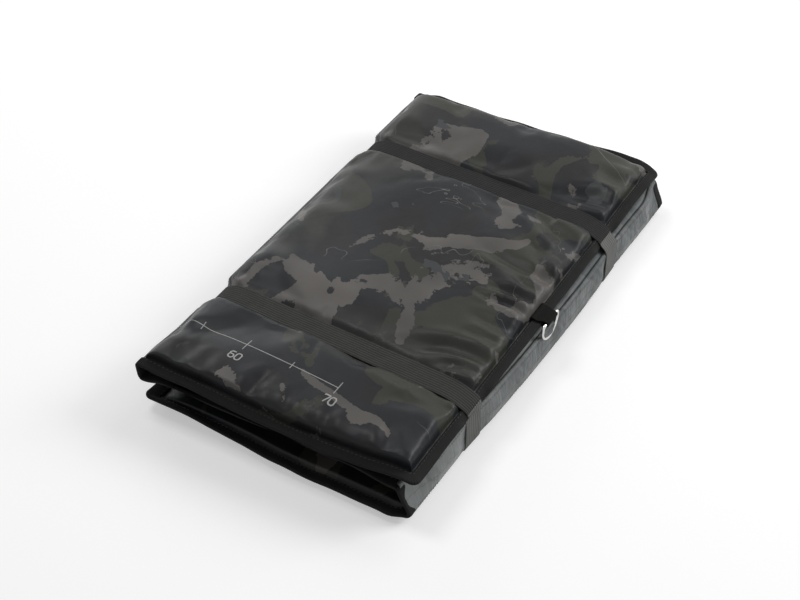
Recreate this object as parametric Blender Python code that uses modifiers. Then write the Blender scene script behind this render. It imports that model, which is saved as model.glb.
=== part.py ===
"""A padded unhooking mat, folded in three like a concertina and held shut by two elastic straps.

Metres, +Z up. +X is the short way and +Y the long way. The floor is z = 0, under the middle of the mat.
From the floor up lie the bottom panel, the middle panel and the top panel. A spine on the right joins
the lower two and a spine on the left joins the upper two, and each spine bends along two fold lines.
The face that a fish lies on is up on the bottom panel, down on the middle one and up on the top one.
"""

import math
from collections import namedtuple

import bmesh
import bpy
from mathutils import Matrix, Vector

# The folded pack
pack_width = 0.284  # from the left fold plane to the right one
panel_length = 0.488  # between the stitched seams of the two ends
panel_thickness = 0.021
underside_rise = 0.007  # from a panel's underside up to its seam
top_panel_inset = 0.010  # how far the top panel's right seam stands back from the right fold plane
stack_gap = 0.0004  # between panels that lie on each other
seat_gap = 0.0003  # between pieces that touch

# The cloth and its padding
cloth_thickness = 0.0008
foam_clearance = 0.0006
face_reach = 0.022  # how far in from its seam the fish's side of a panel still rounds off
underside_reach = 0.010
crown_rise = 0.0025
rounding_share = 0.62  # the power that shapes a padded side, 0.5 for a quarter round
rounding_shares = (0.06, 0.18, 0.38, 0.65, 1.0)

# The bound flange
flange_width = 0.012
flange_corner = 0.006
tape_thickness = 0.0008
tape_setback = 0.0012  # from the seam to the tape's inner edge
tape_edge = 0.0004
slot_overrun = 0.004

# The spines
fold_clearance = 0.0004  # from a fold line to the spine's cloth
spine_tape_setback = 0.0032  # from a fold line to the spine's tape

# The straps
strap_width = 0.025
strap_thickness = 0.0014
front_strap_y = -0.1420
rear_strap_y = 0.1315
strap_slope_share = -0.045  # how far a strap runs towards the near end for each length to the right
strap_seat_margin = 0.0015
channel_side = 0.014
channel_depth = 0.0055
strap_corner = 0.004
strap_edge_radius = 0.0009  # where it bends over the flange's edge
strap_standoff = 0.0010  # from the spine's cloth to a strap's side run

# The ring and its tab
ring_wire = 0.0030
ring_width = 0.029  # between the middles of its two legs
ring_depth = 0.019
ring_corner = 0.003
ring_y = -0.012
tab_width = 0.024
tab_thickness = 0.0012

# How finely the soft forms are drawn
middle_column_count = 3
plain_line_count = 2
end_bay_row_count = 2
middle_bay_row_count = 4
corner_step_count = 4
arc_step_count = 12
sharp_angle = math.radians(40)
merge_distance = 0.00003

# What follows from the sizes above
ply_lift = seat_gap / 2
flange_half = ply_lift + cloth_thickness
slot_half = flange_half + seat_gap
band_half = slot_half + tape_thickness
face_rise = panel_thickness - underside_rise
left_fold_x = -pack_width / 2
right_fold_x = pack_width / 2
near_seam_y = -panel_length / 2
far_seam_y = panel_length / 2
middle_bottom_z = panel_thickness + stack_gap
top_bottom_z = middle_bottom_z + panel_thickness + stack_gap
bottom_seam_z = underside_rise
middle_seam_z = middle_bottom_z + face_rise
top_seam_z = top_bottom_z + underside_rise
strap_seat_half = strap_width / 2 + strap_seat_margin
strap_recess = strap_thickness + 2 * seat_gap
spine_outer_offset = 2 * (seat_gap + cloth_thickness)
fold_inset = seat_gap + cloth_thickness  # a panel's cloth ends this far short of a fold plane

Panel = namedtuple("Panel", "left right seam_z up down up_reach down_reach flange_side")
bottom = Panel(
    left_fold_x + flange_width,
    right_fold_x - fold_inset,
    bottom_seam_z,
    face_rise,
    underside_rise,
    face_reach,
    underside_reach,
    -1,
)
middle = Panel(
    left_fold_x + fold_inset,
    right_fold_x - fold_inset,
    middle_seam_z,
    underside_rise,
    face_rise,
    underside_reach,
    face_reach,
    0,
)
top = Panel(
    left_fold_x + fold_inset,
    right_fold_x - top_panel_inset,
    top_seam_z,
    face_rise,
    underside_rise,
    face_reach,
    underside_reach,
    1,
)

flange_out = flange_width + seat_gap + tape_thickness
tape_edge_x = top.right + flange_out
side_run_x = max(tape_edge_x + seat_gap, right_fold_x + spine_outer_offset + strap_standoff)
strap_parting_z = top_seam_z + spine_outer_offset + stack_gap  # the opened spine passes below this
ring_bar_x = tape_edge_x + seat_gap + ring_wire / 2 + seat_gap


def start_clean():
    for old in list(bpy.data.objects):
        bpy.data.objects.remove(old, do_unlink=True)


def collection_named(name):
    made = bpy.data.collections.new(name)
    bpy.context.scene.collection.children.link(made)
    return made


def material_named(name, colour, roughness, metallic=0.0):
    made = bpy.data.materials.new(name)
    made.use_nodes = True
    made.diffuse_color = (*colour, 1)
    surface = made.node_tree.nodes["Principled BSDF"]
    surface.inputs["Base Color"].default_value = (*colour, 1)
    surface.inputs["Roughness"].default_value = roughness
    surface.inputs["Metallic"].default_value = metallic
    return made


def hinge_frame(name, place, parent=None):
    """An empty on a body's joint axis, which carries that body's pieces."""
    made = bpy.data.objects.new(name, None)
    made.empty_display_size = panel_thickness
    parts.objects.link(made)
    made.parent = parent
    made.location = Vector(place) - (parent.matrix_world.translation if parent else Vector())
    bpy.context.view_layer.update()
    return made


def add_piece(name, mesh, frame, material):
    """A piece whose mesh is given in world places, carried by its body's frame."""
    mesh.transform(Matrix.Translation(-frame.matrix_world.translation))
    mesh.materials.clear()
    mesh.materials.append(material)
    mesh.shade_smooth()
    mesh.set_sharp_from_angle(angle=sharp_angle)
    made = bpy.data.objects.new(name, mesh)
    made.parent = frame
    parts.objects.link(made)
    return made


def add_cutter(name, mesh, frame):
    mesh.transform(Matrix.Translation(-frame.matrix_world.translation))
    made = bpy.data.objects.new(name, mesh)
    made.parent = frame
    made.hide_render = True
    made.display_type = "WIRE"
    cutters.objects.link(made)
    return made


def solidify(piece, thickness, outward):
    shell = piece.modifiers.new("cloth", "SOLIDIFY")
    shell.thickness = thickness
    shell.offset = outward
    shell.use_even_offset = True


def placed_grid(columns, rows, place):
    """A grid primitive whose vertex (i, j) goes to place(columns[i], rows[j])."""
    grid = bmesh.new()
    across, along = len(columns) - 1, len(rows) - 1
    bmesh.ops.create_grid(grid, x_segments=across, y_segments=along, size=0.5)
    for vertex in grid.verts:
        i = round((vertex.co.x + 0.5) * across)
        j = round((vertex.co.y + 0.5) * along)
        vertex.co = place(columns[i], rows[j])
    return grid


def mesh_of(name, shape):
    made = bpy.data.meshes.new(name)
    shape.to_mesh(made)
    shape.free()
    return made


def padded(inward, reach):
    """The height of a padded side, as a share of its full height, this far in from its seam."""
    share = min(max(inward / reach, 0), 1)
    return (1 - (1 - share) ** 2) ** rounding_share


def pressed(y):
    """1 under a strap, falling smoothly to 0 at the far sides of its channel."""
    for strap_y in (front_strap_y, rear_strap_y):
        out = (abs(y - strap_y) - strap_seat_half) / channel_side
        if out < 1:
            out = max(out, 0)
            return 1 - out * out * (3 - 2 * out)
    return 0


def skewed(x, y):
    """The straps run a little askew, and the lines of the soft forms near them run along with them."""
    near_end = front_strap_y - strap_seat_half - channel_side
    far_end = rear_strap_y + strap_seat_half + channel_side
    follow = 1
    if y < near_end:
        follow = max(0, (y - near_seam_y) / (near_end - near_seam_y))
    if y > far_end:
        follow = max(0, (far_seam_y - y) / (far_seam_y - far_end))
    return y + strap_slope_share * x * follow


def spaced(start, end, count):
    """The count places that part the way from start to end into equal steps."""
    return [start + (end - start) * (k + 1) / (count + 1) for k in range(count)]


def columns_of(panel, reach, count):
    rising = [panel.left] + [panel.left + share * reach for share in rounding_shares]
    falling = [panel.right - share * reach for share in reversed(rounding_shares)] + [panel.right]
    lines = rising + spaced(rising[-1], falling[0], count) + falling
    if panel.flange_side < 0:
        lines = [panel.left - flange_width] + lines
    if panel.flange_side > 0:
        lines = lines + [panel.right + flange_width]
    return lines


def rows_of(reach, with_channels):
    near = [near_seam_y + share * reach for share in rounding_shares]
    far = [far_seam_y - share * reach for share in reversed(rounding_shares)]
    lines = [near_seam_y - flange_width, near_seam_y] + near
    if with_channels:
        outer = strap_seat_half + channel_side
        steps = [-outer, -outer + channel_side / 2, -strap_seat_half]
        steps += [-step for step in reversed(steps)]
        front = [front_strap_y + step for step in steps]
        rear = [rear_strap_y + step for step in steps]
        lines += spaced(near[-1], front[0], end_bay_row_count) + front
        lines += spaced(front[-1], rear[0], middle_bay_row_count)
        lines += rear + spaced(rear[-1], far[0], end_bay_row_count)
    else:
        lines += spaced(near[-1], far[0], plain_line_count)
    return lines + far + [far_seam_y, far_seam_y + flange_width]


def swell(panel, x, y, full, reach, crown, channel):
    """How far the inside of a panel's cloth stands from its seam plane."""
    side = padded(x - panel.left, reach) * padded(panel.right - x, reach)
    end = padded(y - near_seam_y, reach) * padded(far_seam_y - y, reach)
    across = (2 * x - panel.left - panel.right) / (panel.right - panel.left)
    domed = crown * max(0, 1 - across * across) * (1 - pressed(y))
    return (full - flange_half + domed - channel * pressed(y)) * side * end


def flange_place(panel, x, y, z):
    """A point of the cloth, with the flange's outer corners cut back."""
    outside_x = x < panel.left or x > panel.right
    outside_y = y < near_seam_y or y > far_seam_y
    if outside_x and outside_y:
        cut = flange_corner * (1 - math.sqrt(0.5))
        x -= math.copysign(cut, x)
        y -= math.copysign(cut, y)
    return Vector((x, y, z))


def add_skin(name, panel, frame, material, way, crown=0, channel=0, columns=plain_line_count):
    """One cloth half of a panel: way is 1 for the half above the seam and -1 for the half below it."""
    full = panel.up if way > 0 else panel.down
    reach = panel.up_reach if way > 0 else panel.down_reach

    def place(x, y):
        z = panel.seam_z + way * (ply_lift + swell(panel, x, y, full, reach, crown, channel))
        return flange_place(panel, x, skewed(x, y) if channel else y, z)

    grid = placed_grid(columns_of(panel, reach, columns), rows_of(reach, channel > 0), place)
    piece = add_piece(name, mesh_of(name, grid), frame, material)
    solidify(piece, cloth_thickness, way)
    return piece


def add_foam(name, panel, frame, material, up_crown=0, up_channel=0, down_channel=0):
    """The closed foam pad, a clearance inside the two cloth halves."""
    reach = max(panel.up_reach, panel.down_reach)
    channels = up_channel > 0 or down_channel > 0
    first = 3 if panel.flange_side < 0 else 2
    last = -3 if panel.flange_side > 0 else -2
    columns = columns_of(panel, reach, middle_column_count)[first:last]
    rows = rows_of(reach, channels)[3:-3]

    def upper(x, y):
        lift = swell(panel, x, y, panel.up, panel.up_reach, up_crown, up_channel)
        z = panel.seam_z + ply_lift + lift - foam_clearance
        return Vector((x, skewed(x, y) if channels else y, z))

    def lower(x, y):
        drop = swell(panel, x, y, panel.down, panel.down_reach, 0, down_channel)
        z = panel.seam_z - ply_lift - drop + foam_clearance
        return Vector((x, skewed(x, y) if channels else y, z))

    pad = placed_grid(columns, rows, upper)
    under = placed_grid(columns, rows, lower)
    under_mesh = mesh_of(name + "_under", under)
    pad.from_mesh(under_mesh)
    bpy.data.meshes.remove(under_mesh)
    rims = [edge for edge in pad.edges if edge.is_boundary]
    bmesh.ops.bridge_loops(pad, edges=rims)
    bmesh.ops.recalc_face_normals(pad, faces=pad.faces)
    return add_piece(name, mesh_of(name, pad), frame, material)


def rounded(corner, before, after, radius):
    """The points of a round corner, on the way from before to after."""
    corner, before, after = Vector(corner), Vector(before), Vector(after)
    start = corner + (before - corner).normalized() * radius
    end = corner + (after - corner).normalized() * radius
    centre = start + end - corner
    points = []
    for k in range(corner_step_count + 1):
        angle = math.pi / 2 * k / corner_step_count
        points.append(centre + (start - centre) * math.cos(angle) + (end - centre) * math.sin(angle))
    return points


def plate_mesh(name, outline, thickness, placed):
    """A flat outline given half its thickness to each side, then put in place."""
    curve = bpy.data.curves.new(name, "CURVE")
    curve.dimensions = "2D"
    curve.fill_mode = "BOTH"
    curve.extrude = thickness / 2
    spline = curve.splines.new("POLY")
    spline.points.add(len(outline) - 1)
    for point, (x, y) in zip(spline.points, outline):
        point.co = (x, y, 0, 1)
    spline.use_cyclic_u = True
    guide = bpy.data.objects.new(name, curve)
    parts.objects.link(guide)
    bpy.context.view_layer.update()
    made = bpy.data.meshes.new_from_object(guide.evaluated_get(bpy.context.evaluated_depsgraph_get()))
    bpy.data.objects.remove(guide)
    shape = bmesh.new()
    shape.from_mesh(made)
    bmesh.ops.remove_doubles(shape, verts=shape.verts, dist=merge_distance)
    bmesh.ops.recalc_face_normals(shape, faces=shape.faces)
    shape.to_mesh(made)
    shape.free()
    made.name = name
    made.transform(placed)
    return made


def rectangle(left, right, low, high):
    return [Vector((left, low)), Vector((right, low)), Vector((right, high)), Vector((left, high))]


def three_sided(side, fold_x, seam_x, out, inner, overrun=0):
    """A flange's outline along both ends and one long side, or the whole plate's when inner is 0."""
    outer_x = seam_x + side * out
    near, far = near_seam_y - out, far_seam_y + out
    fold_x -= side * overrun
    radius = flange_corner + out - flange_width
    points = [Vector((fold_x, near))]
    points += rounded((outer_x, near), (fold_x, near), (outer_x, far), radius)
    points += rounded((outer_x, far), (outer_x, near), (fold_x, far), radius)
    points.append(Vector((fold_x, far)))
    if inner:
        inner_x = seam_x + side * inner
        points += [Vector((fold_x, far_seam_y + inner)), Vector((inner_x, far_seam_y + inner))]
        points += [Vector((inner_x, near_seam_y - inner)), Vector((fold_x, near_seam_y - inner))]
    return points


def add_tape(name, band, slot, placed, frame, material):
    """Binding tape folded over a flange's edge: a band with a slot for the two cloths."""
    piece = add_piece(name, plate_mesh(name, band, 2 * band_half, placed), frame, material)
    slot_mesh = plate_mesh(name + "_slot", slot, 2 * slot_half, placed)
    edge = piece.modifiers.new("soft edge", "BEVEL")
    edge.width = tape_edge
    edge.segments = 1
    edge.limit_method = "ANGLE"
    cut = piece.modifiers.new("slot", "BOOLEAN")
    cut.object = add_cutter(name + "_slot", slot_mesh, frame)
    return piece


def add_round_tape(name, panel, frame, material):
    """The tape of a panel with a free long side: along that side and both ends."""
    side = panel.flange_side
    fold_x = panel.left if side > 0 else panel.right
    seam_x = panel.right if side > 0 else panel.left
    band = three_sided(side, fold_x, seam_x, flange_out, tape_setback)
    slot = three_sided(side, fold_x, seam_x, flange_width + seat_gap, 0, slot_overrun)
    return add_tape(name, band, slot, Matrix.Translation((0, 0, panel.seam_z)), frame, material)


def add_end_tape(name, start, stop, end, placed, frame, material):
    """The tape of one straight run from start to stop, at the near end (-1) or the far end (1)."""
    seam = end * panel_length / 2
    low, high = sorted((seam + end * tape_setback, seam + end * flange_out))
    band = rectangle(start, stop, low, high)
    low, high = sorted((seam - end * slot_overrun, seam + end * (flange_width + seat_gap)))
    slot = rectangle(start - slot_overrun, stop + slot_overrun, low, high)
    return add_tape(name, band, slot, placed, frame, material)


def add_box(name, low, high, frame, material):
    low, high = Vector(low), Vector(high)
    size = high - low
    shape = bmesh.new()
    bmesh.ops.create_cube(shape, size=1)
    bmesh.ops.scale(shape, vec=size, verts=shape.verts)
    bmesh.ops.translate(shape, vec=(low + high) / 2, verts=shape.verts)
    return add_piece(name, mesh_of(name, shape), frame, material)


def add_spine(prefix, side, fold_x, low_z, high_z, frame, outer_material):
    """A spine: two cloths stitched flat, bound at both ends, standing just outside its fold plane."""
    reach_y = panel_length / 2 + flange_width
    names = ("inner_ply", "outer_ply")
    for k, (layer, material) in enumerate(zip(names, (cover, outer_material))):
        near_x = fold_x + side * (seat_gap + k * (cloth_thickness + seat_gap))
        far_x = near_x + side * cloth_thickness
        low = (min(near_x, far_x), -reach_y, low_z + fold_clearance)
        high = (max(near_x, far_x), reach_y, high_z - fold_clearance)
        add_box(f"{prefix}_{layer}", low, high, frame, material)
    middle_x = fold_x + side * (seat_gap + flange_half)
    upright = Matrix.Translation((middle_x, 0, 0)) @ Matrix.Rotation(-math.pi / 2, 4, "Y")
    for end, where in ((-1, "near"), (1, "far")):
        start, stop = low_z + spine_tape_setback, high_z - spine_tape_setback
        add_end_tape(f"{prefix}_{where}_binding", start, stop, end, upright, frame, webbing)


def offset_line(points, distance):
    """The line moved sideways, to its left as it runs, by the same distance all along."""
    moved = []
    for k, point in enumerate(points):
        before = points[max(k - 1, 0)]
        after = points[min(k + 1, len(points) - 1)]
        first = (point - before).normalized() if k else (after - point).normalized()
        last = (after - point).normalized() if k < len(points) - 1 else first
        left_first = Vector((-first.y, first.x))
        left_last = Vector((-last.y, last.x))
        moved.append(point + (left_first + left_last) * distance / (1 + left_first.dot(left_last)))
    return moved


def add_ribbon(name, line, width, thickness, middle_y, slope, frame, material):
    """A flat woven piece that follows a line in the X-Z plane; it thickens to the line's left."""

    def place(point, aside):
        return Vector((point.x, middle_y + slope * point.x + aside, point.y))

    grid = placed_grid(line, (-width / 2, width / 2), place)
    piece = add_piece(name, mesh_of(name, grid), frame, material)
    solidify(piece, thickness, 1)
    return piece


def over_line(strap_y):
    """The underside of a strap's upper run: up the left fold, across and over the flange."""
    inside = columns_of(top, face_reach, middle_column_count)[2:-3]
    crossing = []
    for x in inside:
        lift = swell(top, x, strap_y, face_rise, face_reach, crown_rise, channel_depth)
        crossing.append(Vector((x, top_seam_z + ply_lift + lift)))
    crossing = offset_line(crossing, cloth_thickness + seat_gap)
    turn_z = (strap_parting_z + crossing[0].y) / 2
    band_z = top_seam_z + band_half + seat_gap
    line = [Vector((-side_run_x, strap_parting_z)), Vector((-side_run_x, turn_z))] + crossing
    line.append(Vector((top.right + tape_setback, band_z)))
    edge = (side_run_x, band_z)
    line += rounded(edge, line[-1], (side_run_x, top_seam_z - band_half), strap_edge_radius)
    line.append(Vector((side_run_x, top_seam_z - band_half)))
    return line


def under_line():
    """Where the inner face of a strap's lower run lies: down the right side, under the mat and up."""
    floor_z = seat_gap + strap_thickness
    start = Vector((side_run_x, top_seam_z - band_half - seat_gap))
    stop = Vector((-side_run_x, strap_parting_z - seat_gap))
    right = (side_run_x, floor_z)
    left = (-side_run_x, floor_z)
    line = [start] + rounded(right, start, left, strap_corner)
    line += rounded(left, right, stop, strap_corner) + [stop]
    return line


def tab_line():
    """The inner face of the folded tab: over the taped flange, round the ring's bar and back."""
    half = band_half + seat_gap
    radius = ring_wire / 2 + seat_gap
    start_x = top.right + tape_setback
    line = [Vector((start_x, half)), Vector((tape_edge_x, half))]
    for k in range(arc_step_count + 1):
        angle = math.pi / 2 - math.pi * k / arc_step_count
        line.append(Vector((ring_bar_x + radius * math.cos(angle), radius * math.sin(angle))))
    line += [Vector((tape_edge_x, -half)), Vector((start_x, -half))]
    return [point + Vector((0, top_seam_z)) for point in line]


def ring_points():
    """The ring's middle line: a straight bar, tight corners and one round bow hanging below."""
    half = ring_width / 2
    points = [Vector((-half + ring_corner, 0)), Vector((half - ring_corner, 0))]
    points += rounded((half, 0), (0, 0), (half, -ring_depth), ring_corner)[1:-1]
    for k in range(arc_step_count + 1):
        angle = math.pi * k / arc_step_count
        drop = ring_corner + (ring_depth - ring_corner) * math.sin(angle)
        points.append(Vector((half * math.cos(angle), -drop)))
    points += rounded((-half, 0), (-half, -ring_depth), (0, 0), ring_corner)[1:-1]
    return points


def add_ring(name, frame, material):
    curve = bpy.data.curves.new(name, "CURVE")
    curve.dimensions = "3D"
    curve.bevel_depth = ring_wire / 2
    curve.bevel_resolution = 2
    spline = curve.splines.new("POLY")
    outline = ring_points()
    spline.points.add(len(outline) - 1)
    for point, (aside, height) in zip(spline.points, outline):
        point.co = (0, aside, height, 1)
    spline.use_cyclic_u = True
    curve.materials.append(material)
    made = bpy.data.objects.new(name, curve)
    made.parent = frame
    parts.objects.link(made)
    return made


def make_bottom_panel(frame):
    add_foam("bottom_foam", bottom, frame, padding, down_channel=strap_recess)
    add_skin("bottom_upper_skin", bottom, frame, cover, 1)
    add_skin("bottom_lower_skin", bottom, frame, backing, -1, channel=strap_recess)
    add_round_tape("bottom_binding", bottom, frame, webbing)


def make_middle_panel(frame):
    add_foam("middle_foam", middle, frame, padding)
    add_skin("middle_upper_skin", middle, frame, backing, 1)
    add_skin("middle_lower_skin", middle, frame, cover, -1)
    level = Matrix.Translation((0, 0, middle.seam_z))
    for end, where in ((-1, "near"), (1, "far")):
        name = f"middle_{where}_binding"
        add_end_tape(name, middle.left, middle.right, end, level, frame, webbing)


def make_top_panel(frame):
    add_foam("top_foam", top, frame, padding, up_crown=crown_rise, up_channel=channel_depth)
    add_skin(
        "top_upper_skin", top, frame, cover, 1, crown_rise, channel_depth, columns=middle_column_count
    )
    add_skin("top_lower_skin", top, frame, backing, -1)
    add_round_tape("top_binding", top, frame, webbing)
    add_ribbon("ring_tab", tab_line(), tab_width, tab_thickness, ring_y, 0, frame, webbing)


def make_straps(frame):
    """Each strap is a loop: a woven upper run and an elastic lower run that goes round the pack."""
    for where, strap_y in (("front", front_strap_y), ("rear", rear_strap_y)):
        size = (strap_width, strap_thickness, strap_y, strap_slope_share)
        add_ribbon(f"{where}_strap_over", over_line(strap_y), *size, frame, elastic)
        add_ribbon(f"{where}_strap_under", under_line(), *size, frame, elastic)


start_clean()
parts = collection_named("unhooking_mat")
cutters = collection_named("cutters")
cutters.hide_render = True

cover = material_named("camouflage_cover", (0.045, 0.050, 0.046), 0.42)
backing = material_named("coated_underside", (0.150, 0.170, 0.165), 0.5)
padding = material_named("closed_cell_foam", (0.30, 0.30, 0.29), 0.9)
webbing = material_named("grosgrain_tape", (0.026, 0.026, 0.025), 0.8)
elastic = material_named("ribbed_elastic", (0.048, 0.050, 0.045), 0.85)
nickel = material_named("nickel_plate", (0.62, 0.61, 0.59), 0.25, 1.0)

bottom_frame = hinge_frame("bottom_panel_frame", (0, 0, 0))
lower_spine_frame = hinge_frame("lower_spine_frame", (right_fold_x, 0, bottom.seam_z), bottom_frame)
middle_frame = hinge_frame("middle_panel_frame", (right_fold_x, 0, middle.seam_z), lower_spine_frame)
upper_spine_frame = hinge_frame("upper_spine_frame", (left_fold_x, 0, middle.seam_z), middle_frame)
top_frame = hinge_frame("top_panel_frame", (left_fold_x, 0, top.seam_z), upper_spine_frame)
ring_frame = hinge_frame("ring_frame", (ring_bar_x, ring_y, top.seam_z), top_frame)

make_bottom_panel(bottom_frame)
add_spine("lower_spine", 1, right_fold_x, bottom.seam_z, middle.seam_z, lower_spine_frame, backing)
make_middle_panel(middle_frame)
add_spine("upper_spine", -1, left_fold_x, middle.seam_z, top.seam_z, upper_spine_frame, cover)
make_top_panel(top_frame)
make_straps(top_frame)
add_ring("d_ring", ring_frame, nickel)
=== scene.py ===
"""A folded unhooking mat: three padded panels in camouflage cloth, bound, strapped and fitted with a ring.

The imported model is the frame. Every cloth, tape and strap here is a finer piece around one of its solids,
in the same metres: +X towards the ring, +Y along the mat, the floor at z = 0.
"""

import math
from collections import namedtuple

import bmesh
import bpy
import numpy as np
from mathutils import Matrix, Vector
from mathutils.bvhtree import BVHTree


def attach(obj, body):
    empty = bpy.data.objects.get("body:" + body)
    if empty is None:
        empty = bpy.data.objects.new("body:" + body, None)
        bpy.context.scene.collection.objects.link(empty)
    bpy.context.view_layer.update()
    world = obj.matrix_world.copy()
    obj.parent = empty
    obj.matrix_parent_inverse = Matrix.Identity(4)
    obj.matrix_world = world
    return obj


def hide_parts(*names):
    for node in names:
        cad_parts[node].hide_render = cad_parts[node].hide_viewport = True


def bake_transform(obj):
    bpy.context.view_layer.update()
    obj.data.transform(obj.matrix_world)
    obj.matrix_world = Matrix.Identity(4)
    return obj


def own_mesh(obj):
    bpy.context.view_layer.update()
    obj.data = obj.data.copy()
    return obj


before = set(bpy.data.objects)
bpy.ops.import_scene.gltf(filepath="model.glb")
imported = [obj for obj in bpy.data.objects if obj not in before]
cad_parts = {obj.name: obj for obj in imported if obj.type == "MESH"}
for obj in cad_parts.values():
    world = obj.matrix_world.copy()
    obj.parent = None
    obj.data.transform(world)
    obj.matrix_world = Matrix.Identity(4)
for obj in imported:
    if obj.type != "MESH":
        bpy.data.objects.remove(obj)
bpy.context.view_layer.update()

# The panels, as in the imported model: their seams, and how far a pad's face and back stand from them
fold_x = 0.142
fold_gap = 0.0011
near_seam, far_seam = -0.244, 0.244
flange = 0.012
face_rise, back_rise = 0.0140, 0.0070
face_reach, back_reach = 0.022, 0.010
pad_rounding = 0.62
Panel = namedtuple("Panel", "name body left right seam face_way free_side")
bottom = Panel("bottom", "bottom_panel", -fold_x + flange, fold_x - fold_gap, 0.007, 1, -1)
middle = Panel("middle", "middle_panel", -fold_x + fold_gap, fold_x - fold_gap, 0.0354, -1, 0)
top = Panel("top", "top_panel", -fold_x + fold_gap, 0.132, 0.0498, 1, 1)

# The cloths: their thickness and padding, and the lines of their meshes beside a seam and in a flange
cloth_thickness = 0.0006
flange_tucks = (0.0025, 0.0050, 0.0075)
seam_lines = (0.0012, 0.0028)
first_line = 0.0052
cover_step, panel_step, spine_step = 0.0038, 0.0072, 0.0036

# The top cover: full puffs between the straps, lower behind each strap and at its far right corner
puff_rise, puff_crown = 0.0134, 0.0026
behind_drop = 0.0030
corner_drop, corner_reach = 0.26, 0.036
cloth_pressure, cloth_spare, cloth_cap = 1.0, 0.012, 0.0030
side_pleat, end_pleat = 0.0066, 0.0070
side_pleat_height, end_pleat_height = 0.00030, 0.00026

# The straps: their places along the mat, their slope across it, and the channel each presses into the cover
strap_width, strap_thickness = 0.025, 0.0014
strap_rib, strap_rib_height = 0.0026, 0.00018
strap_places = {"front": -0.1420, "rear": 0.1315}
strap_slope = -0.045
seat_half = 0.0122
channel_side, channel_depth = 0.0066, 0.0062
elastic_narrower = 0.0012

# The straps' way round the pack: from the parting at the left, down that side, and up the right side
parting = (-0.1374, 0.0480)
left_line = [(-0.1382, 0.0458), (-0.1402, 0.0422), (-0.1434, 0.0385), (-0.1444, 0.0200)]
left_run, right_run = 0.1441, 0.1434
floor_clear = 0.0003
strap_corner = 0.004

# The straps turn the top panel's side flange down, by this angle and over this width
strap_grip = math.radians(62)
grip_half = 0.0135
grip_fade = 0.018
bend_start, bend_end = 0.0005, 0.0065

# The edge tape, and how it narrows on the cloth at the near end of the lower spine
tape_half = 0.0017
tape_in, tape_out = 0.0010, 0.0112
tape_corner = 0.0070
tape_bulge = 1.16
taped_half = tape_half * tape_bulge + 0.0003
spine_end_cloth = 0.0062

# The stitches: their pitch, length and thickness on the tape and on the spines
tape_stitch = (0.0042, 0.0026, 0.00056)
spine_stitch = (0.0034, 0.0024, 0.00045)
stitch_share = 0.17

# The folds: half of a spine's cloth runs from a panel, cloth_z high, to the spine's middle
Fold = namedtuple("Fold", "joint panel spine side way cloth_z middle_z bulge")
lower_middle = (bottom.seam + middle.seam) / 2
upper_middle = (middle.seam + top.seam) / 2
folds = [
    Fold("unfold", bottom, "lower_spine", 1, 1, 0.0048, lower_middle, 0.0024),
    Fold("middle_fold", middle, "lower_spine", 1, -1, 0.0386, lower_middle, 0.0024),
    Fold("upper_fold", middle, "upper_spine", -1, 1, 0.0350, upper_middle, 0.0016),
    Fold("top_fold", top, "upper_spine", -1, -1, 0.0503, upper_middle, 0.0016),
]
outer_offset, inner_offset, tape_offset = 0.0021, 0.0004, 0.0011
outer_tuck, inner_tuck = 0.0016, 0.0012
spine_draw, spine_channel = 0.0010, 0.016
spine_end_reach = 0.030

# The ring in its tab
ring_bar = Vector((0.1472, -0.012, 0.0498))
ring_wire = 0.0030
ring_width, ring_depth = 0.0305, 0.0203
ring_corner = 0.003
ring_tilt = math.radians(-8)
tab_width, tab_end_width, tab_thickness = 0.024, 0.0195, 0.0012

# How the folded mat sits askew: for each place along it, how far its lower right side stands out or in
askew_places = (
    -0.257, -0.22, -0.19, -0.16, -0.13, -0.10, -0.06, -0.02, 0.02, 0.06, 0.10, 0.16, 0.19, 0.22, 0.257,
)
askew_shifts = (
    -0.0066, -0.0066, -0.0061, -0.0052, -0.0028, -0.0010, 0.0013, 0.0026, 0.0037, 0.0045, 0.0041, 0.0034,
    0.0044, 0.0051, 0.0064,
)

# How its near end sits: across the mat, the top panel sags and the bottom panel bows out
sag_places = (-0.142, -0.11, -0.07, -0.03, 0.01, 0.055, 0.09, 0.120)
sags = (0, 0, 0.0003, 0.0018, 0.0032, 0.0028, 0.0020, 0)
bow_places = (-0.06, -0.03, 0.0, 0.03, 0.06, 0.09, 0.11, 0.128, 0.138)
bows = (0, 0.0015, 0.0050, 0.0058, 0.0050, 0.0058, 0.0060, 0.0068, 0.0004)

# How its flanges lift, and how far from a fold they are held level
far_lift_places = (-0.142, -0.125, -0.105, -0.085, 0.0, 0.03, 0.06, 0.09, 0.11, 0.125, 0.143)
far_lifts = (0.0034, 0.0056, 0.0042, 0.0028, 0.0026, 0.0036, 0.0042, 0.0048, 0.0048, 0.0040, -0.0005)
near_lift_places = (-0.150, -0.12, -0.09, -0.06, -0.03, 0)
near_lifts = (0.0100, 0.0096, 0.0072, 0.0045, 0.0025, 0.0012)
held_start, held_end = 0.004, 0.030

# The moved panels stay clear of each other: the middle one below this height, the top one above
middle_cap = 0.0418
top_floor = 0.0430

# The print: the scale's 70 lies here on the top panel, and its line this far along the mat
scale_end, scale_end_x = 0.70, 0.037
print_slope = 0.072
line_place = -0.2019
line_half, tick_half = 0.00036, 0.0004
long_tick, short_tick, tick_every = 0.0074, 0.0042, 0.100
back_layer = 1.7

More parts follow.
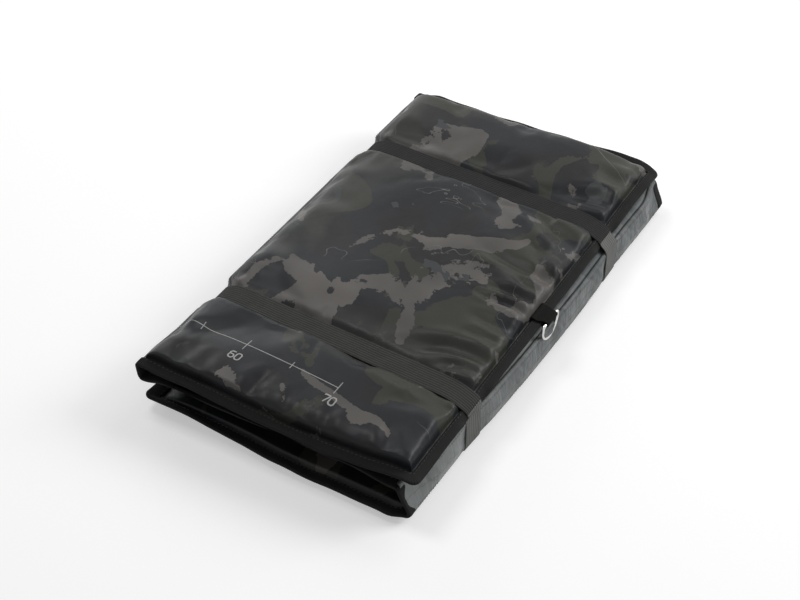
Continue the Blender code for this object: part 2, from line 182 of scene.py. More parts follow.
# The scale's numbers: the middle of each, and each digit's strokes as shares of its width and height
number_places = {"60": (-0.0640, -0.2145), "70": (0.0376, -0.2196)}
digit_width, digit_height, digit_stroke, digit_gap = 0.0052, 0.0080, 0.0013, 0.0017
film_clear, film_thickness = 0.00016, 0.00008
digit_shares = {
    "0": [(0.25, 0), (0.75, 0), (1, 0.2), (1, 0.8), (0.75, 1), (0.25, 1), (0, 0.8), (0, 0.2), (0.25, 0)],
    "6": [(0.92, 1), (0.25, 1), (0, 0.8), (0, 0.2), (0.25, 0), (0.75, 0), (1, 0.18), (1, 0.40), (0.75, 0.57),
          (0.04, 0.57)],
    "7": [(0, 0.86), (0, 1), (1, 1), (1, 0.85), (0.42, 0)],
}

# The folds in the top cover: where each starts and ends, its depth and its width
top_fold_lines = [
    ((0.052, 0.0240), (0.1290, 0.0228), 0.0038, 0.0078),
    ((0.074, 0.0092), (0.1290, 0.0040), 0.0026, 0.0062),
    ((0.040, 0.0310), (0.112, 0.0400), 0.0018, 0.0100),
    ((0.082, -0.0160), (0.1295, -0.0140), 0.0030, 0.0056),
    ((0.074, -0.0280), (0.1295, -0.0335), 0.0025, 0.0046),
    ((0.076, 0.0560), (0.1290, 0.0600), 0.0026, 0.0100),
    ((0.056, 0.1020), (0.1290, 0.0800), 0.0030, 0.0100),
    ((0.006, 0.1030), (0.092, 0.1090), 0.0017, 0.0085),
    ((0.084, -0.0620), (0.1290, -0.0600), 0.0020, 0.0085),
    ((0.090, -0.0880), (0.1290, -0.0810), 0.0020, 0.0072),
    ((0.048, -0.1120), (0.1280, -0.1050), 0.0032, 0.0078),
    ((0.074, -0.1270), (0.1280, -0.1220), 0.0018, 0.0048),
    ((0.072, -0.1940), (0.1280, -0.1750), 0.0024, 0.0100),
    ((0.036, -0.1680), (0.1190, -0.1640), 0.0018, 0.0066),
    ((0.074, 0.1620), (0.1290, 0.1590), 0.0024, 0.0085),
    ((0.086, 0.2050), (0.1290, 0.1960), 0.0018, 0.0095),
    ((-0.092, 0.0260), (-0.1350, 0.0200), 0.0011, 0.0120),
    ((-0.100, -0.0640), (-0.1350, -0.0600), 0.0011, 0.0120),
    ((-0.098, 0.0900), (-0.1350, 0.0960), 0.0010, 0.0110),
    ((-0.100, -0.1880), (-0.1340, -0.2080), 0.0016, 0.0095),
    ((-0.070, 0.1600), (-0.1330, 0.1650), 0.0012, 0.0100),
    ((-0.020, -0.2150), (-0.0350, -0.2380), 0.0014, 0.0070),
    ((0.050, -0.2170), (0.0440, -0.2380), 0.0012, 0.0065),
    ((0.010, -0.2200), (0.0060, -0.2390), 0.0010, 0.0060),
    ((0.098, -0.2140), (0.1040, -0.2380), 0.0014, 0.0060),
    ((-0.080, -0.2160), (-0.0860, -0.2380), 0.0010, 0.0070),
]

# The studio: the softboxes' places, sizes and watts, and the camera
softboxes = {
    "key softbox": ((1.78, 1.50, 1.50), (1.3, 1.2), 43),
    "overhead softbox": ((-0.75, -0.05, 1.90), (0.5, 0.7), 10),
    "back softbox": ((0.35, 1.50, 1.65), (1.2, 0.8), 8),
    "rim softbox": ((-1.3, 1.0, 0.8), (1.0, 0.6), 4),
}
light_aim = (0.0, 0.0, 0.03)
ambient = 0.16
floor_size, floor_z, floor_glow = 12, -0.0002, 0.43
camera_elevation, camera_azimuth = math.radians(40.69), math.radians(30.1)
camera_aim, camera_distance = (-0.0154, -0.0085, 0), 1.539
camera_lens, camera_sensor = 70.35, 36

rng_seed = 7
wave_count = 7
merge_distance = 1e-6
crease_angle = math.radians(50)


# Mesh helpers


def deselect():
    for held in bpy.context.selected_objects:
        held.select_set(False)


def activate(piece):
    deselect()
    bpy.context.view_layer.objects.active = piece
    piece.select_set(True)


def edit_all(piece):
    """Opens a piece in edit mode with everything selected."""
    activate(piece)
    bpy.ops.object.mode_set(mode="EDIT")
    bpy.ops.mesh.select_all(action="SELECT")


def apply_modifiers(piece):
    activate(piece)
    for modifier in list(piece.modifiers):
        bpy.ops.object.modifier_apply(modifier=modifier.name)


def place_primitive(name):
    """Names a new primitive and puts its place into its mesh."""
    piece = bpy.context.object
    piece.name = name
    activate(piece)
    bpy.ops.object.transform_apply(location=True, rotation=True, scale=True)
    return piece


def shade_smooth(piece):
    piece.data.polygons.foreach_set("use_smooth", [True] * len(piece.data.polygons))


def add_smoother(piece):
    smoother = piece.modifiers.new("smooth", "SUBSURF")
    smoother.levels = smoother.render_levels = 1


def add_wall(piece, thickness):
    """Gives an open cloth or film its thickness on the inside."""
    wall = piece.modifiers.new("wall", "SOLIDIFY")
    wall.thickness = thickness
    wall.offset = -1


def flip_faces(piece):
    edit_all(piece)
    bpy.ops.mesh.flip_normals()
    bpy.ops.object.mode_set(mode="OBJECT")


def close_up(piece):
    """Merges a piece's seam, closes its ends, turns its faces outwards and shades it."""
    edit_all(piece)
    bpy.ops.mesh.remove_doubles(threshold=merge_distance)
    bpy.ops.mesh.select_all(action="DESELECT")
    bpy.ops.mesh.select_non_manifold()
    bpy.ops.mesh.fill_holes(sides=0)
    bpy.ops.mesh.select_all(action="SELECT")
    bpy.ops.mesh.normals_make_consistent(inside=False)
    bpy.ops.object.mode_set(mode="OBJECT")
    shade_smooth(piece)
    piece.data.set_sharp_from_angle(angle=crease_angle)


def joined(name, pieces):
    activate(pieces[0])
    for piece in pieces:
        piece.select_set(True)
    bpy.ops.object.join()
    piece = bpy.context.object
    piece.name = name
    piece.data.name = name
    return piece


def coordinates(mesh):
    flat = np.zeros(len(mesh.vertices) * 3)
    mesh.vertices.foreach_get("co", flat)
    return flat.reshape(-1, 3)


def set_coordinates(mesh, places):
    mesh.vertices.foreach_set("co", np.asarray(places, float).ravel())
    mesh.update()


def set_print_place(piece, along, across, layer):
    """Where each point lies on its cloth or tape, for the print and the weave."""
    values = np.stack(np.broadcast_arrays(along, across, layer), axis=1)
    kind = piece.data.attributes.new("print_place", "FLOAT_VECTOR", "POINT")
    kind.data.foreach_set("vector", np.asarray(values, np.float32).ravel())


def grid_piece(name, columns, rows):
    """A grid primitive with one vertex for each column and row, and each vertex's column and row number."""
    deselect()
    across, along = len(columns) - 1, len(rows) - 1
    bpy.ops.mesh.primitive_grid_add(x_subdivisions=across, y_subdivisions=along, size=1)
    piece = bpy.context.object
    piece.name = name
    piece.data.name = name
    places = coordinates(piece.data)
    i = np.rint((places[:, 0] + 0.5) * across).astype(int)
    j = np.rint((places[:, 1] + 0.5) * along).astype(int)
    return piece, i, j


# Lines and curves


def ramp(value, start, end):
    """A smooth rise from 0 at the start to 1 at the end."""
    share = np.clip((value - start) / (end - start), 0, 1)
    return share * share * (3 - 2 * share)


def curve(value, knots, amounts, soft=0.008):
    """A rounded-off line through amounts at these knots."""
    shifts = (-soft, -soft / 2, 0, soft / 2, soft)
    return sum(np.interp(value + shift, knots, amounts) for shift in shifts) / len(shifts)


def lobe(inward, width):
    return np.sin(math.pi * np.clip(inward / width, 0, 1))


def waver(along, across, length, seed):
    """A smooth random swing about 0, of this wave length, that is the same each run."""
    draw = np.random.default_rng(rng_seed + seed)
    total = 0
    for _ in range(wave_count):
        angle = draw.uniform(0, 2 * math.pi)
        wave = 2 * math.pi / (length * draw.uniform(0.7, 1.6))
        turn = draw.uniform(0, 2 * math.pi)
        total = total + np.sin(wave * (np.cos(angle) * along + np.sin(angle) * across) + turn)
    return total / wave_count ** 0.5


def evenly(start, end, step):
    return list(np.linspace(start, end, max(2, round((end - start) / step) + 1)))


def distances(line):
    steps = np.linalg.norm(np.diff(line, axis=0), axis=1)
    return np.concatenate([[0], np.cumsum(steps)])


def directions(line):
    """The unit direction at each point of a line."""
    ahead = np.gradient(line, axis=0)
    return ahead / np.maximum(np.linalg.norm(ahead, axis=1, keepdims=True), 1e-9)


def smoothed_path(points, step):
    """A line through these points, with evenly spaced points about a step apart."""
    line = np.array(points)
    along = distances(line)
    shares = np.linspace(0, 1, max(8, round(along[-1] / step)))
    return np.stack([np.interp(shares, along / along[-1], line[:, k]) for k in range(line.shape[1])], axis=1)


def relaxed(path):
    for _ in range(2):
        path[1:-1] = (path[:-2] + 2 * path[1:-1] + path[2:]) / 4
    return path


def arc_angles(turn, steps):
    return [turn * k / steps for k in range(steps + 1)]


# Where the folded mat's cloth lies


def outside(panel, x, y):
    """How far a point lies beside its panel's side seams and beyond its end seams."""
    beside = np.maximum(np.maximum(panel.left - x, x - panel.right), 0)
    beyond = np.maximum(np.maximum(near_seam - y, y - far_seam), 0)
    return beside, beyond


def pad_edge(inward, reach, power=pad_rounding):
    """How full a pad is this far inside its seam, from 0 to 1."""
    share = np.clip(inward / reach, 0, 1)
    return (1 - (1 - share) ** 2) ** power


def strap_distance(x, y, where):
    return y - strap_places[where] - strap_slope * x


def nearest_strap(x, y):
    return np.minimum(abs(strap_distance(x, y, "front")), abs(strap_distance(x, y, "rear")))


def pressed(x, y, side=channel_side):
    """1 under a strap, and 0 this far beside it."""
    return 1 - ramp(nearest_strap(x, y), seat_half, seat_half + side)


def print_place(panel, x, y):
    """Where a point of the open mat's face lies on its printed scale, from the panel's own place."""
    if panel is top:
        return scale_end - (scale_end_x - x), y + print_slope * np.clip(x, top.left, None)
    left_end = scale_end - (scale_end_x - top.left)
    shift = print_slope * top.left
    spine = 2 * fold_gap + top.seam - middle.seam
    if panel is middle:
        return left_end - spine - (x - middle.left), y + shift
    wide_spine = 2 * fold_gap + middle.seam - bottom.seam
    return left_end - spine - wide_spine - (middle.right - middle.left) - (bottom.right - x), y + shift


def flange_lift(panel, x, y, out):
    """How far a flange's edge hangs or stands: out is how far from the seam, and the folds hold it level."""
    share = np.clip(out / tape_out, 0, 1)
    beside, beyond = outside(panel, x, y)
    at_end = beyond / np.maximum(beside + beyond, 1e-9)
    if panel is top:
        near_lift, far_lift, side_lift = 0.0, curve(x, far_lift_places, far_lifts), -0.0010
    elif panel is middle:
        near_lift, far_lift, side_lift = 0.0006, 0.0026, 0.0
    else:
        near_lift, far_lift = curve(x, near_lift_places, near_lifts), 0.0020
        side_lift = 0.0030 + 0.0065 * ramp(-y, 0.190, 0.250)
    held = ramp(x, -fold_x + held_start, -fold_x + held_end) if panel is not bottom else 1
    if panel is not top:
        held = held * ramp(-x, -fold_x + held_start, -fold_x + held_end)
    end_lift = (np.where(y < 0, near_lift, far_lift) + 0.0009 * waver(x, y, 0.060, 3)) * held
    side = side_lift + 0.0006 * waver(x, y, 0.060, 5)
    return (end_lift * at_end + side * (1 - at_end)) * share ** 1.3


def bent(length, tip):
    """How far out and up a strip of cloth comes, and its angle there, where it bends to a tip angle."""
    length, tip = np.asarray(length, float), np.asarray(tip, float)
    steps = np.linspace(0, 1, 17)
    angle = tip[..., None] * ramp(length[..., None] * steps, bend_start, bend_end)
    return length * np.cos(angle).mean(-1), length * np.sin(angle).mean(-1), angle[..., -1]


def gripped(places):
    """The top panel's side flange turned down and in where the straps bear on it."""
    x, y, z = places.T
    length = np.maximum(x - top.right, 0)
    grip = 1 - ramp(nearest_strap(x, y), grip_half, grip_half + grip_fade)
    lift = flange_lift(top, x, y, np.maximum(*outside(top, x, y)))
    level = top.seam + lift * (1 - grip)
    out, up, angle = bent(length, -strap_grip * grip)
    height = z - top.seam - lift
    across = np.where(length > 0, top.right + out - height * np.sin(angle), x)
    upward = np.where(length > 0, level + up + height * np.cos(angle), z)
    return np.stack([across, y, upward], axis=1)


def panel_shift(body, x, y):
    """How far a panel's cloth is moved across, along and up by the way the mat is folded and strapped."""
    zero = np.zeros_like(x)
    near_edge = ramp(-y, 0.2315, 0.2440)
    near_part = ramp(-y, 0.195, 0.244)
    if body == "top_panel":
        pinch = pressed(-abs(x), y, 0.014) * (1 - ramp(x, -0.142, -0.120))
        lifted_corner = ramp(-y, 0.190, 0.235) * (1 - ramp(x, -0.142, -0.105))
        sag = curve(x, sag_places, sags)
        hang = ramp(x, 0.118, 0.146) * ramp(y, 0.225, 0.257)
        up = -0.0010 * pinch + 0.0024 * lifted_corner - sag * near_edge - 0.0050 * hang
        return 0.0068 * pinch - 0.0014 * lifted_corner, -sag * near_part, up
    askew = curve(y, askew_places, askew_shifts, 0.012) * ramp(x, -0.02, 0.13)
    if body == "middle_panel":
        drawn = 0.0115 * ramp(-y, 0.200, 0.250) + 0.0090 * ramp(y, 0.205, 0.252)
        raised_end = 0.0056 * near_edge * (1 - ramp(x, 0.085, 0.135)) * ramp(x, -0.1400, -0.115)
        return askew - drawn * ramp(x, 0.06, 0.135), zero, raised_end
    return askew, -curve(x, bow_places, bows, 0.005) * near_part, zero


def settled(body, x, y, z):
    """The shift of a piece of this body. A spine's cloth follows the panel below it and the one above."""
    if body == "upper_spine":
        below, above, side_x = middle, top, -fold_x
    elif body == "lower_spine":
        below, above, side_x = bottom, middle, fold_x
    else:
        return panel_shift(body, x, y)
    share = ramp(z, below.seam, above.seam)
    side = np.full_like(x, side_x)
    lows, highs = panel_shift(below.body, side, y), panel_shift(above.body, side, y)
    return [low * (1 - share) + high * share for low, high in zip(lows, highs)]


def settle(piece, body):
    """Gives a piece the set of the folded mat and the grip of the straps, as its neighbours have them."""
    places = coordinates(piece.data)
    if body == "top_panel":
        places = gripped(places)
    x, y, z = places.T
    across, along, up = settled(body, x, y, z)
    height = z + up
    if body == "middle_panel":
        height = np.minimum(height, np.maximum(z, middle_cap))
    if body == "top_panel":
        height = np.maximum(height, np.minimum(z, top_floor))
    set_coordinates(piece.data, np.stack([x + across, y + along, height], axis=1))


def settle_on(piece, body):
    """Settles a piece that moves with one body."""
    settle(piece, body)
    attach(piece, body)


# Shader helpers

Finish = namedtuple("Finish", "slot material")


def dress(piece, finish):
    """A piece's material, from its finish."""
    piece.data.materials.clear()
    piece.data.materials.append(finish.material)


def feed(tree, node, inputs):
    """Gives each named input of a node another node's output, or a plain number, place or colour."""
    for key, value in inputs.items():
        socket = node.inputs[key]
        if isinstance(value, bpy.types.NodeSocket):
            tree.links.new(value, socket)
        elif socket.type == "RGBA":
            socket.default_value = (*value, 1)
        else:
            socket.default_value = value


def add_node(tree, kind, inputs=None, **settings):
    made = tree.nodes.new(kind)
    for key, value in settings.items():
        setattr(made, key, value)
    feed(tree, made, inputs or {})
    return made


def new_material(name):
    material = bpy.data.materials.new(name)
    material.use_nodes = True
    return material, material.node_tree, material.node_tree.nodes["Principled BSDF"]


def new_group(name, inputs, output, output_kind="NodeSocketFloat"):
    """A node group with one output. Each input has a number, or None where it is a place."""
    group = bpy.data.node_groups.new(name, "ShaderNodeTree")
    for label, default in inputs.items():
        kind = "NodeSocketVector" if default is None else "NodeSocketFloat"
        socket = group.interface.new_socket(label, in_out="INPUT", socket_type=kind)
        if default is not None:
            socket.default_value = default
    group.interface.new_socket(output, in_out="OUTPUT", socket_type=output_kind)
    entry = group.nodes.new("NodeGroupInput").outputs
    return group, entry, group.nodes.new("NodeGroupOutput")


def use_group(tree, group, inputs):
    return add_node(tree, "ShaderNodeGroup", inputs, node_tree=group).outputs[0]


def maths(tree, operation, first, second=0.0, third=0.0):
    return add_node(tree, "ShaderNodeMath", {0: first, 1: second, 2: third}, operation=operation).outputs[0]


def between(tree, value, low, high):
    """0 below low, 1 above high."""
    inputs = {"Value": value, "From Min": low, "From Max": high}
    return add_node(tree, "ShaderNodeMapRange", inputs, clamp=True).outputs["Result"]


def mixed(tree, share, first, second):
    return add_node(tree, "ShaderNodeMix", {0: share, 6: first, 7: second}, data_type="RGBA").outputs[2]


def moved(tree, place, shift):
    return add_node(tree, "ShaderNodeVectorMath", {0: place, 1: shift}, operation="ADD").outputs[0]


def parts_of(tree, place):
    return add_node(tree, "ShaderNodeSeparateXYZ", {0: place}).outputs


def noise(tree, place, scale, detail=3.0, rough=0.55, distortion=0.0):
    inputs = {"Vector": place, "Scale": scale, "Detail": detail, "Roughness": rough, "Distortion": distortion}
    return add_node(tree, "ShaderNodeTexNoise", inputs).outputs["Fac"]


def bump(tree, height, strength, distance, below=None):
    """A bump from this height, on top of the one below it."""
    inputs = {"Strength": strength, "Distance": distance, "Height": height}
    if below:
        inputs["Normal"] = below
    return add_node(tree, "ShaderNodeBump", inputs).outputs[0]


def printed_place(tree):
    return add_node(tree, "ShaderNodeAttribute", attribute_name="print_place").outputs["Vector"]


def object_place(tree):
    return add_node(tree, "ShaderNodeTexCoord").outputs["Object"]


def tinted(colour, share):
    return tuple(c * share for c in colour)


# Materials


def camouflage_group():
    """Camouflage colours over the print's place, with the measuring line on the fish's side of the cloth."""
    group, entry, out = new_group("camouflage print", {"Place": None}, "Color", "NodeSocketColor")
    place = entry["Place"]

    def field(u, v, scale, detail, rough=0.55, distortion=0.0):
        return noise(group, moved(group, place, (u, v, 0)), scale, detail, rough, distortion)

    slate, shade, deep = (0.0128, 0.0148, 0.0180), (0.0108, 0.0096, 0.0106), (0.0165, 0.0175, 0.0185)
    olive, faded, taupe = (0.0315, 0.0335, 0.0260), (0.036, 0.036, 0.032), (0.120, 0.112, 0.105)
    hole, outline = (0.040, 0.045, 0.046), (0.26, 0.26, 0.25)
    ragged = maths(group, "SUBTRACT", noise(group, place, 120.0, 4.0, 0.7), 0.5)
    share = between(group, field(3.1, 1.7, 9.0, 2.0, 0.5, 0.3), 0.42, 0.62)
    colour = mixed(group, share, slate, shade)
    share = between(group, field(8.8, 6.1, 16.0, 2.0, 0.5, 0.3), 0.50, 0.66)
    colour = mixed(group, maths(group, "MULTIPLY", share, 0.6), colour, deep)
    share = maths(group, "MULTIPLY_ADD", ragged, 0.07, field(7.3, 4.9, 9.0, 2.5, 0.5, 1.0))
    colour = mixed(group, between(group, share, 0.560, 0.563), colour, olive)
    share = between(group, field(2.9, 11.3, 8.0, 2.0, 0.5, 0.5), 0.55, 0.66)
    colour = mixed(group, maths(group, "MULTIPLY", share, 0.75), colour, faded)
    tone = between(group, field(4.2, 19.0, 14.0, 2.0), 0.35, 0.65)
    patch = mixed(group, tone, tinted(taupe, 0.66), taupe)
    share = maths(group, "MULTIPLY_ADD", ragged, 0.10, field(12.9, 9.2, 9.5, 2.5, 0.5, 1.3))
    colour = mixed(group, between(group, share, 0.585, 0.588), colour, patch)
    share = between(group, field(21.4, 3.3, 15.0, 3.0, 0.6, 0.8), 0.672, 0.675)
    colour = mixed(group, share, colour, hole)
    line = maths(group, "COMPARE", field(5.5, 15.0, 6.0, 4.0, 0.62, 0.6), 0.47, 0.0011)
    chosen = between(group, field(1.5, 25.0, 9.0, 1.0), 0.51, 0.55)
    traced = maths(group, "MULTIPLY", maths(group, "MULTIPLY", line, chosen), 0.42)
    colour = mixed(group, traced, colour, outline)
    colour = mixed(group, scale_share(group, place), colour, (0.36, 0.36, 0.35))
    feed(group, out, {"Color": colour})
    return group


def scale_share(group, place):
    """1 on the scale's line and its ticks, long at each 10 cm and short between them."""
    along, across, layer = parts_of(group, place)
    beside = maths(group, "ABSOLUTE", maths(group, "SUBTRACT", across, line_place))
    marks = maths(group, "LESS_THAN", beside, line_half)
    for pitch, reach in ((tick_every, long_tick), (tick_every / 2, short_tick)):
        tick = maths(group, "LESS_THAN", maths(group, "PINGPONG", along, pitch / 2), tick_half)
        tick = maths(group, "MULTIPLY", tick, maths(group, "LESS_THAN", beside, reach))
        marks = maths(group, "MAXIMUM", marks, tick)
    past_start = maths(group, "GREATER_THAN", along, -tick_half)
    before_end = maths(group, "LESS_THAN", along, scale_end + tick_half)
    on_scale = maths(group, "MULTIPLY", past_start, before_end)
    on_face = maths(group, "MULTIPLY", on_scale, maths(group, "LESS_THAN", layer, 0.5))
    return maths(group, "MULTIPLY", marks, on_face)


def weave_group():
    """A plain weave's height, from threads along and across the cloth."""
    group, entry, out = new_group("plain weave", {"Place": None, "Pitch": 0.0006}, "Height")
    turns = maths(group, "DIVIDE", 2 * math.pi, entry["Pitch"])
    along, across, _ = parts_of(group, entry["Place"])
    first, second = (maths(group, "SINE", maths(group, "MULTIPLY", part, turns)) for part in (along, across))
    feed(group, out, {"Height": maths(group, "MULTIPLY", first, second)})
    return group


def ribs_group():
    """The height of ribs across a tape or along a strap, a little uneven."""
    inputs = {"Along": 0.0, "Across": 0.0, "Rib": 0.0012, "Thread": 0.0007}
    group, entry, out = new_group("woven ribs", inputs, "Height")
    total = 0.0
    for part, pitch, share in (("Across", "Rib", 0.7), ("Along", "Thread", 0.3)):
        turns = maths(group, "DIVIDE", maths(group, "MULTIPLY", entry[part], 2 * math.pi), entry[pitch])
        total = maths(group, "MULTIPLY_ADD", maths(group, "SINE", turns), share, total)
    feed(group, out, {"Height": total})
    return group


def camouflage_colour(tree, place):
    return use_group(tree, camouflage_print, {"Place": place})


def backing_colour(tree, place):
    """Grey-green patches, and painted light that makes the cloth paler towards the mat's near end."""
    patches = between(tree, noise(tree, moved(tree, place, (2.2, 8.1, 0)), 22.0, 3.0, 0.6, 1.0), 0.50, 0.53)
    base = mixed(tree, patches, (0.086, 0.095, 0.096), (0.140, 0.151, 0.151))
    mottle = between(tree, noise(tree, place, 120.0, 3.0), 0.40, 0.80)
    base = mixed(tree, mottle, base, (0.108, 0.118, 0.119))
    # Painted light, not wear: this share paints the cloth paler towards the mat's near end.
    nearness = maths(tree, "MULTIPLY", parts_of(tree, place)[1], -1.0)
    worn = maths(tree, "MULTIPLY", between(tree, nearness, 0.02, 0.21), 0.70)
    return mixed(tree, worn, base, (0.245, 0.257, 0.257))


def coated_cloth(name, print_colour, roughness, streaked=0.0):
    """A coated cloth: its print, the weave under the coating, soft creases and an uneven shine."""
    material, tree, surface = new_material(name)
    place = printed_place(tree)
    height = use_group(tree, weave, {"Place": place, "Pitch": 0.0007})
    height = maths(tree, "MULTIPLY_ADD", noise(tree, place, 900.0, 2.0), 0.8, height)
    normal = bump(tree, height, 0.10, 0.0003)
    normal = bump(tree, noise(tree, place, 55.0, 3.0, 0.5, 0.4), 0.25, 0.0012, normal)
    if streaked:
        inputs = {"Vector": place, "Rotation": (0, 0, 0.35), "Scale": (30, 190, 1)}
        slanted = add_node(tree, "ShaderNodeMapping", inputs).outputs[0]
        normal = bump(tree, noise(tree, slanted, 1.0, 2.0, 0.5, 0.6), streaked, 0.0012, normal)
    shine = between(tree, noise(tree, place, 35.0, 3.0), 0.3, 0.7)
    feed(tree, surface, {
        "Base Color": print_colour(tree, place),
        "Normal": normal,
        "Roughness": maths(tree, "MULTIPLY_ADD", shine, 0.10, roughness),
        "Specular IOR Level": 0.17,
    })
    return material


def woven_tape(name, colour, rib, thread, roughness, depth, ribs_across=False):
    """A woven tape, with painted shade between its ribs and painted highlight on their tops, and a little
    worn. Its ribs run along it or across it.
    """
    material, tree, surface = new_material(name)
    place = printed_place(tree)
    parts = parts_of(tree, place)
    along, across = (parts[1], parts[0]) if ribs_across else (parts[0], parts[1])
    height = use_group(tree, ribs, {"Along": along, "Across": across, "Rib": rib, "Thread": thread})
    height = maths(tree, "MULTIPLY_ADD", noise(tree, place, 1600.0, 2.0), 0.5, height)
    # Painted shade and highlight: the colour follows the ribs' height, darker between them and lighter on
    # their tops.
    base = mixed(tree, between(tree, height, -0.8, 1.2), tinted(colour, 0.50), tinted(colour, 1.55))
    worn = between(tree, noise(tree, place, 60.0, 4.0), 0.35, 0.75)
    feed(tree, surface, {
        "Base Color": mixed(tree, maths(tree, "MULTIPLY", worn, 0.35), base, tinted(colour, 1.5)),
        "Normal": bump(tree, height, 0.6, depth),
        "Roughness": roughness,
        "Specular IOR Level": 0.06,
    })
    return material


def plated_metal(name):
    material, tree, surface = new_material(name)
    place = object_place(tree)
    worn = between(tree, noise(tree, place, 320.0, 4.0), 0.35, 0.75)
    feed(tree, surface, {
        "Base Color": mixed(tree, worn, (0.66, 0.65, 0.63), (0.52, 0.51, 0.49)),
        "Normal": bump(tree, noise(tree, place, 1400.0, 2.0), 0.10, 0.0001),
        "Roughness": maths(tree, "MULTIPLY_ADD", worn, 0.12, 0.16),
        "Metallic": 1.0,
    })
    return material


def mottled(name, colour, roughness):
    material, tree, surface = new_material(name)
    worn = between(tree, noise(tree, object_place(tree), 500.0, 3.0), 0.3, 0.7)
    feed(tree, surface, {
        "Base Color": mixed(tree, worn, tinted(colour, 0.75), colour),
        "Roughness": roughness,
    })
    return material


camouflage_print, weave, ribs = camouflage_group(), weave_group(), ribs_group()
camouflage = Finish("camouflage_cover", coated_cloth("camouflage cloth", camouflage_colour, 0.30))
backing = Finish("coated_underside", coated_cloth("grey green coated cloth", backing_colour, 0.36))
creased = Finish("coated_underside", coated_cloth("creased grey green cloth", backing_colour, 0.33, 0.9))
tape = Finish(
    "grosgrain_tape",
    woven_tape("black grosgrain", (0.0215, 0.0215, 0.0210), 0.0013, 0.0006, 0.75, 0.0003, ribs_across=True),
)
tab_webbing = Finish(
    "grosgrain_tape",
    woven_tape("dark webbing", (0.0105, 0.0105, 0.0100), 0.0012, 0.0006, 0.8, 0.0003),
)
# Painted light and shade: the two straps are one elastic, painted lighter on the front strap and darker on
# the rear one, as light falls on them.
strap_webbing = {
    "front": woven_tape("ribbed elastic", (0.044, 0.045, 0.042), strap_rib, 0.0010, 0.68, 0.0003),
    "rear": woven_tape("ribbed elastic with painted shade", (0.026, 0.027, 0.026), strap_rib, 0.0010, 0.68, 0.0003),
}
stretched = Finish(
    "ribbed_elastic",
    woven_tape("stretch elastic", (0.128, 0.130, 0.123), 0.0030, 0.0006, 0.60, 0.0002),
)
plating = Finish("nickel_plate", plated_metal("bright nickel"))
thread = Finish("grosgrain_tape", mottled("dark thread", (0.034, 0.034, 0.033), 0.6))
ink = Finish("camouflage_cover", mottled("pale print", (0.38, 0.38, 0.37), 0.5))


# The padded cloths


def full_height(panel, x, y, way):
    """How high a pad stands under its cloth, and how full it is at each point."""
    on_face = way == panel.face_way
    rise, reach = (face_rise, face_reach) if on_face else (back_rise, back_reach)
    side = pad_edge(x - panel.left, reach) * pad_edge(panel.right - x, reach)
    near = pad_edge(y - near_seam, reach)
    if on_face and panel is not top:
        near = 0.44 * pad_edge(y - near_seam, 0.0042, 0.5) + 0.56 * ramp(y - near_seam, 0.006, 0.034)
    return rise, side * near * pad_edge(far_seam - y, reach)


def tucked(lines, at_start=True, at_end=True):
    """A cloth's lines with three more in the flange at their start, their end or both."""
    before = [lines[0] - tuck for tuck in reversed(flange_tucks)] if at_start else []
    after = [lines[-1] + tuck for tuck in flange_tucks] if at_end else []
    return np.array(before + lines + after)


def panel_lines(panel, step):
    """Columns and rows for a panel's cloth, with one line on each seam and three in each flange."""
    sets = []
    for low, high in ((panel.left, panel.right), (near_seam, far_seam)):
        inner = evenly(low + first_line, high - first_line, step)
        start, end = [low + line for line in seam_lines], [high - line for line in reversed(seam_lines)]
        sets.append([low] + start + inner + end + [high])
    return tucked(sets[0], panel.free_side < 0, panel.free_side > 0), tucked(sets[1])


def along_cloth(grid, axis, start):
    """How far along the cloth each point lies on one axis, from a start line that keeps its place."""
    lengths = np.linalg.norm(np.diff(grid, axis=axis), axis=2)
    first = np.zeros_like(grid.take([0], axis=axis)[..., 0])
    total = np.concatenate([first, np.cumsum(lengths, axis=axis)], axis=axis)
    place = grid[..., 1 - axis]
    return total - total.take([start], axis=axis) + place.take([start], axis=axis)


def cloth_places(grid):
    """The print's place for each point, measured along the cloth from the scale's end and its line."""
    column = np.argmin(abs(grid[0, :, 0] - scale_end_x))
    row = np.argmin(abs(grid[:, 0, 1] - line_place))
    return along_cloth(grid, 1, column), along_cloth(grid, 0, row)


def inflate(piece, held):
    """The cloth blown up against its held points by a simulation, and no point moved further than the cap."""
    group = piece.vertex_groups.new(name="held")
    group.add([int(index) for index in np.nonzero(held)[0]], 1.0, "REPLACE")
    rest = coordinates(piece.data)
    cloth = piece.modifiers.new("padding", "CLOTH")
    cloth.settings.quality = 6
    cloth.settings.mass = 0.3
    cloth.settings.tension_stiffness = 30
    cloth.settings.compression_stiffness = 30
    cloth.settings.shear_stiffness = 8
    cloth.settings.bending_stiffness = 0.8
    cloth.settings.use_pressure = True
    cloth.settings.uniform_pressure_force = cloth_pressure
    cloth.settings.shrink_min = -cloth_spare
    cloth.settings.effector_weights.gravity = 0
    cloth.settings.vertex_group_mass = "held"
    scene = bpy.context.scene
    scene.frame_start, scene.frame_end = 1, 20
    for number in range(1, 21):
        scene.frame_set(number)
    blown = piece.evaluated_get(bpy.context.evaluated_depsgraph_get()).to_mesh()
    shift = coordinates(blown) - rest
    piece.modifiers.remove(cloth)
    piece.vertex_groups.remove(group)
    scene.frame_set(1)
    distance = np.linalg.norm(shift, axis=1, keepdims=True)
    shift *= cloth_cap * np.tanh(distance / cloth_cap) / np.maximum(distance, 1e-9)
    set_coordinates(piece.data, rest + shift)


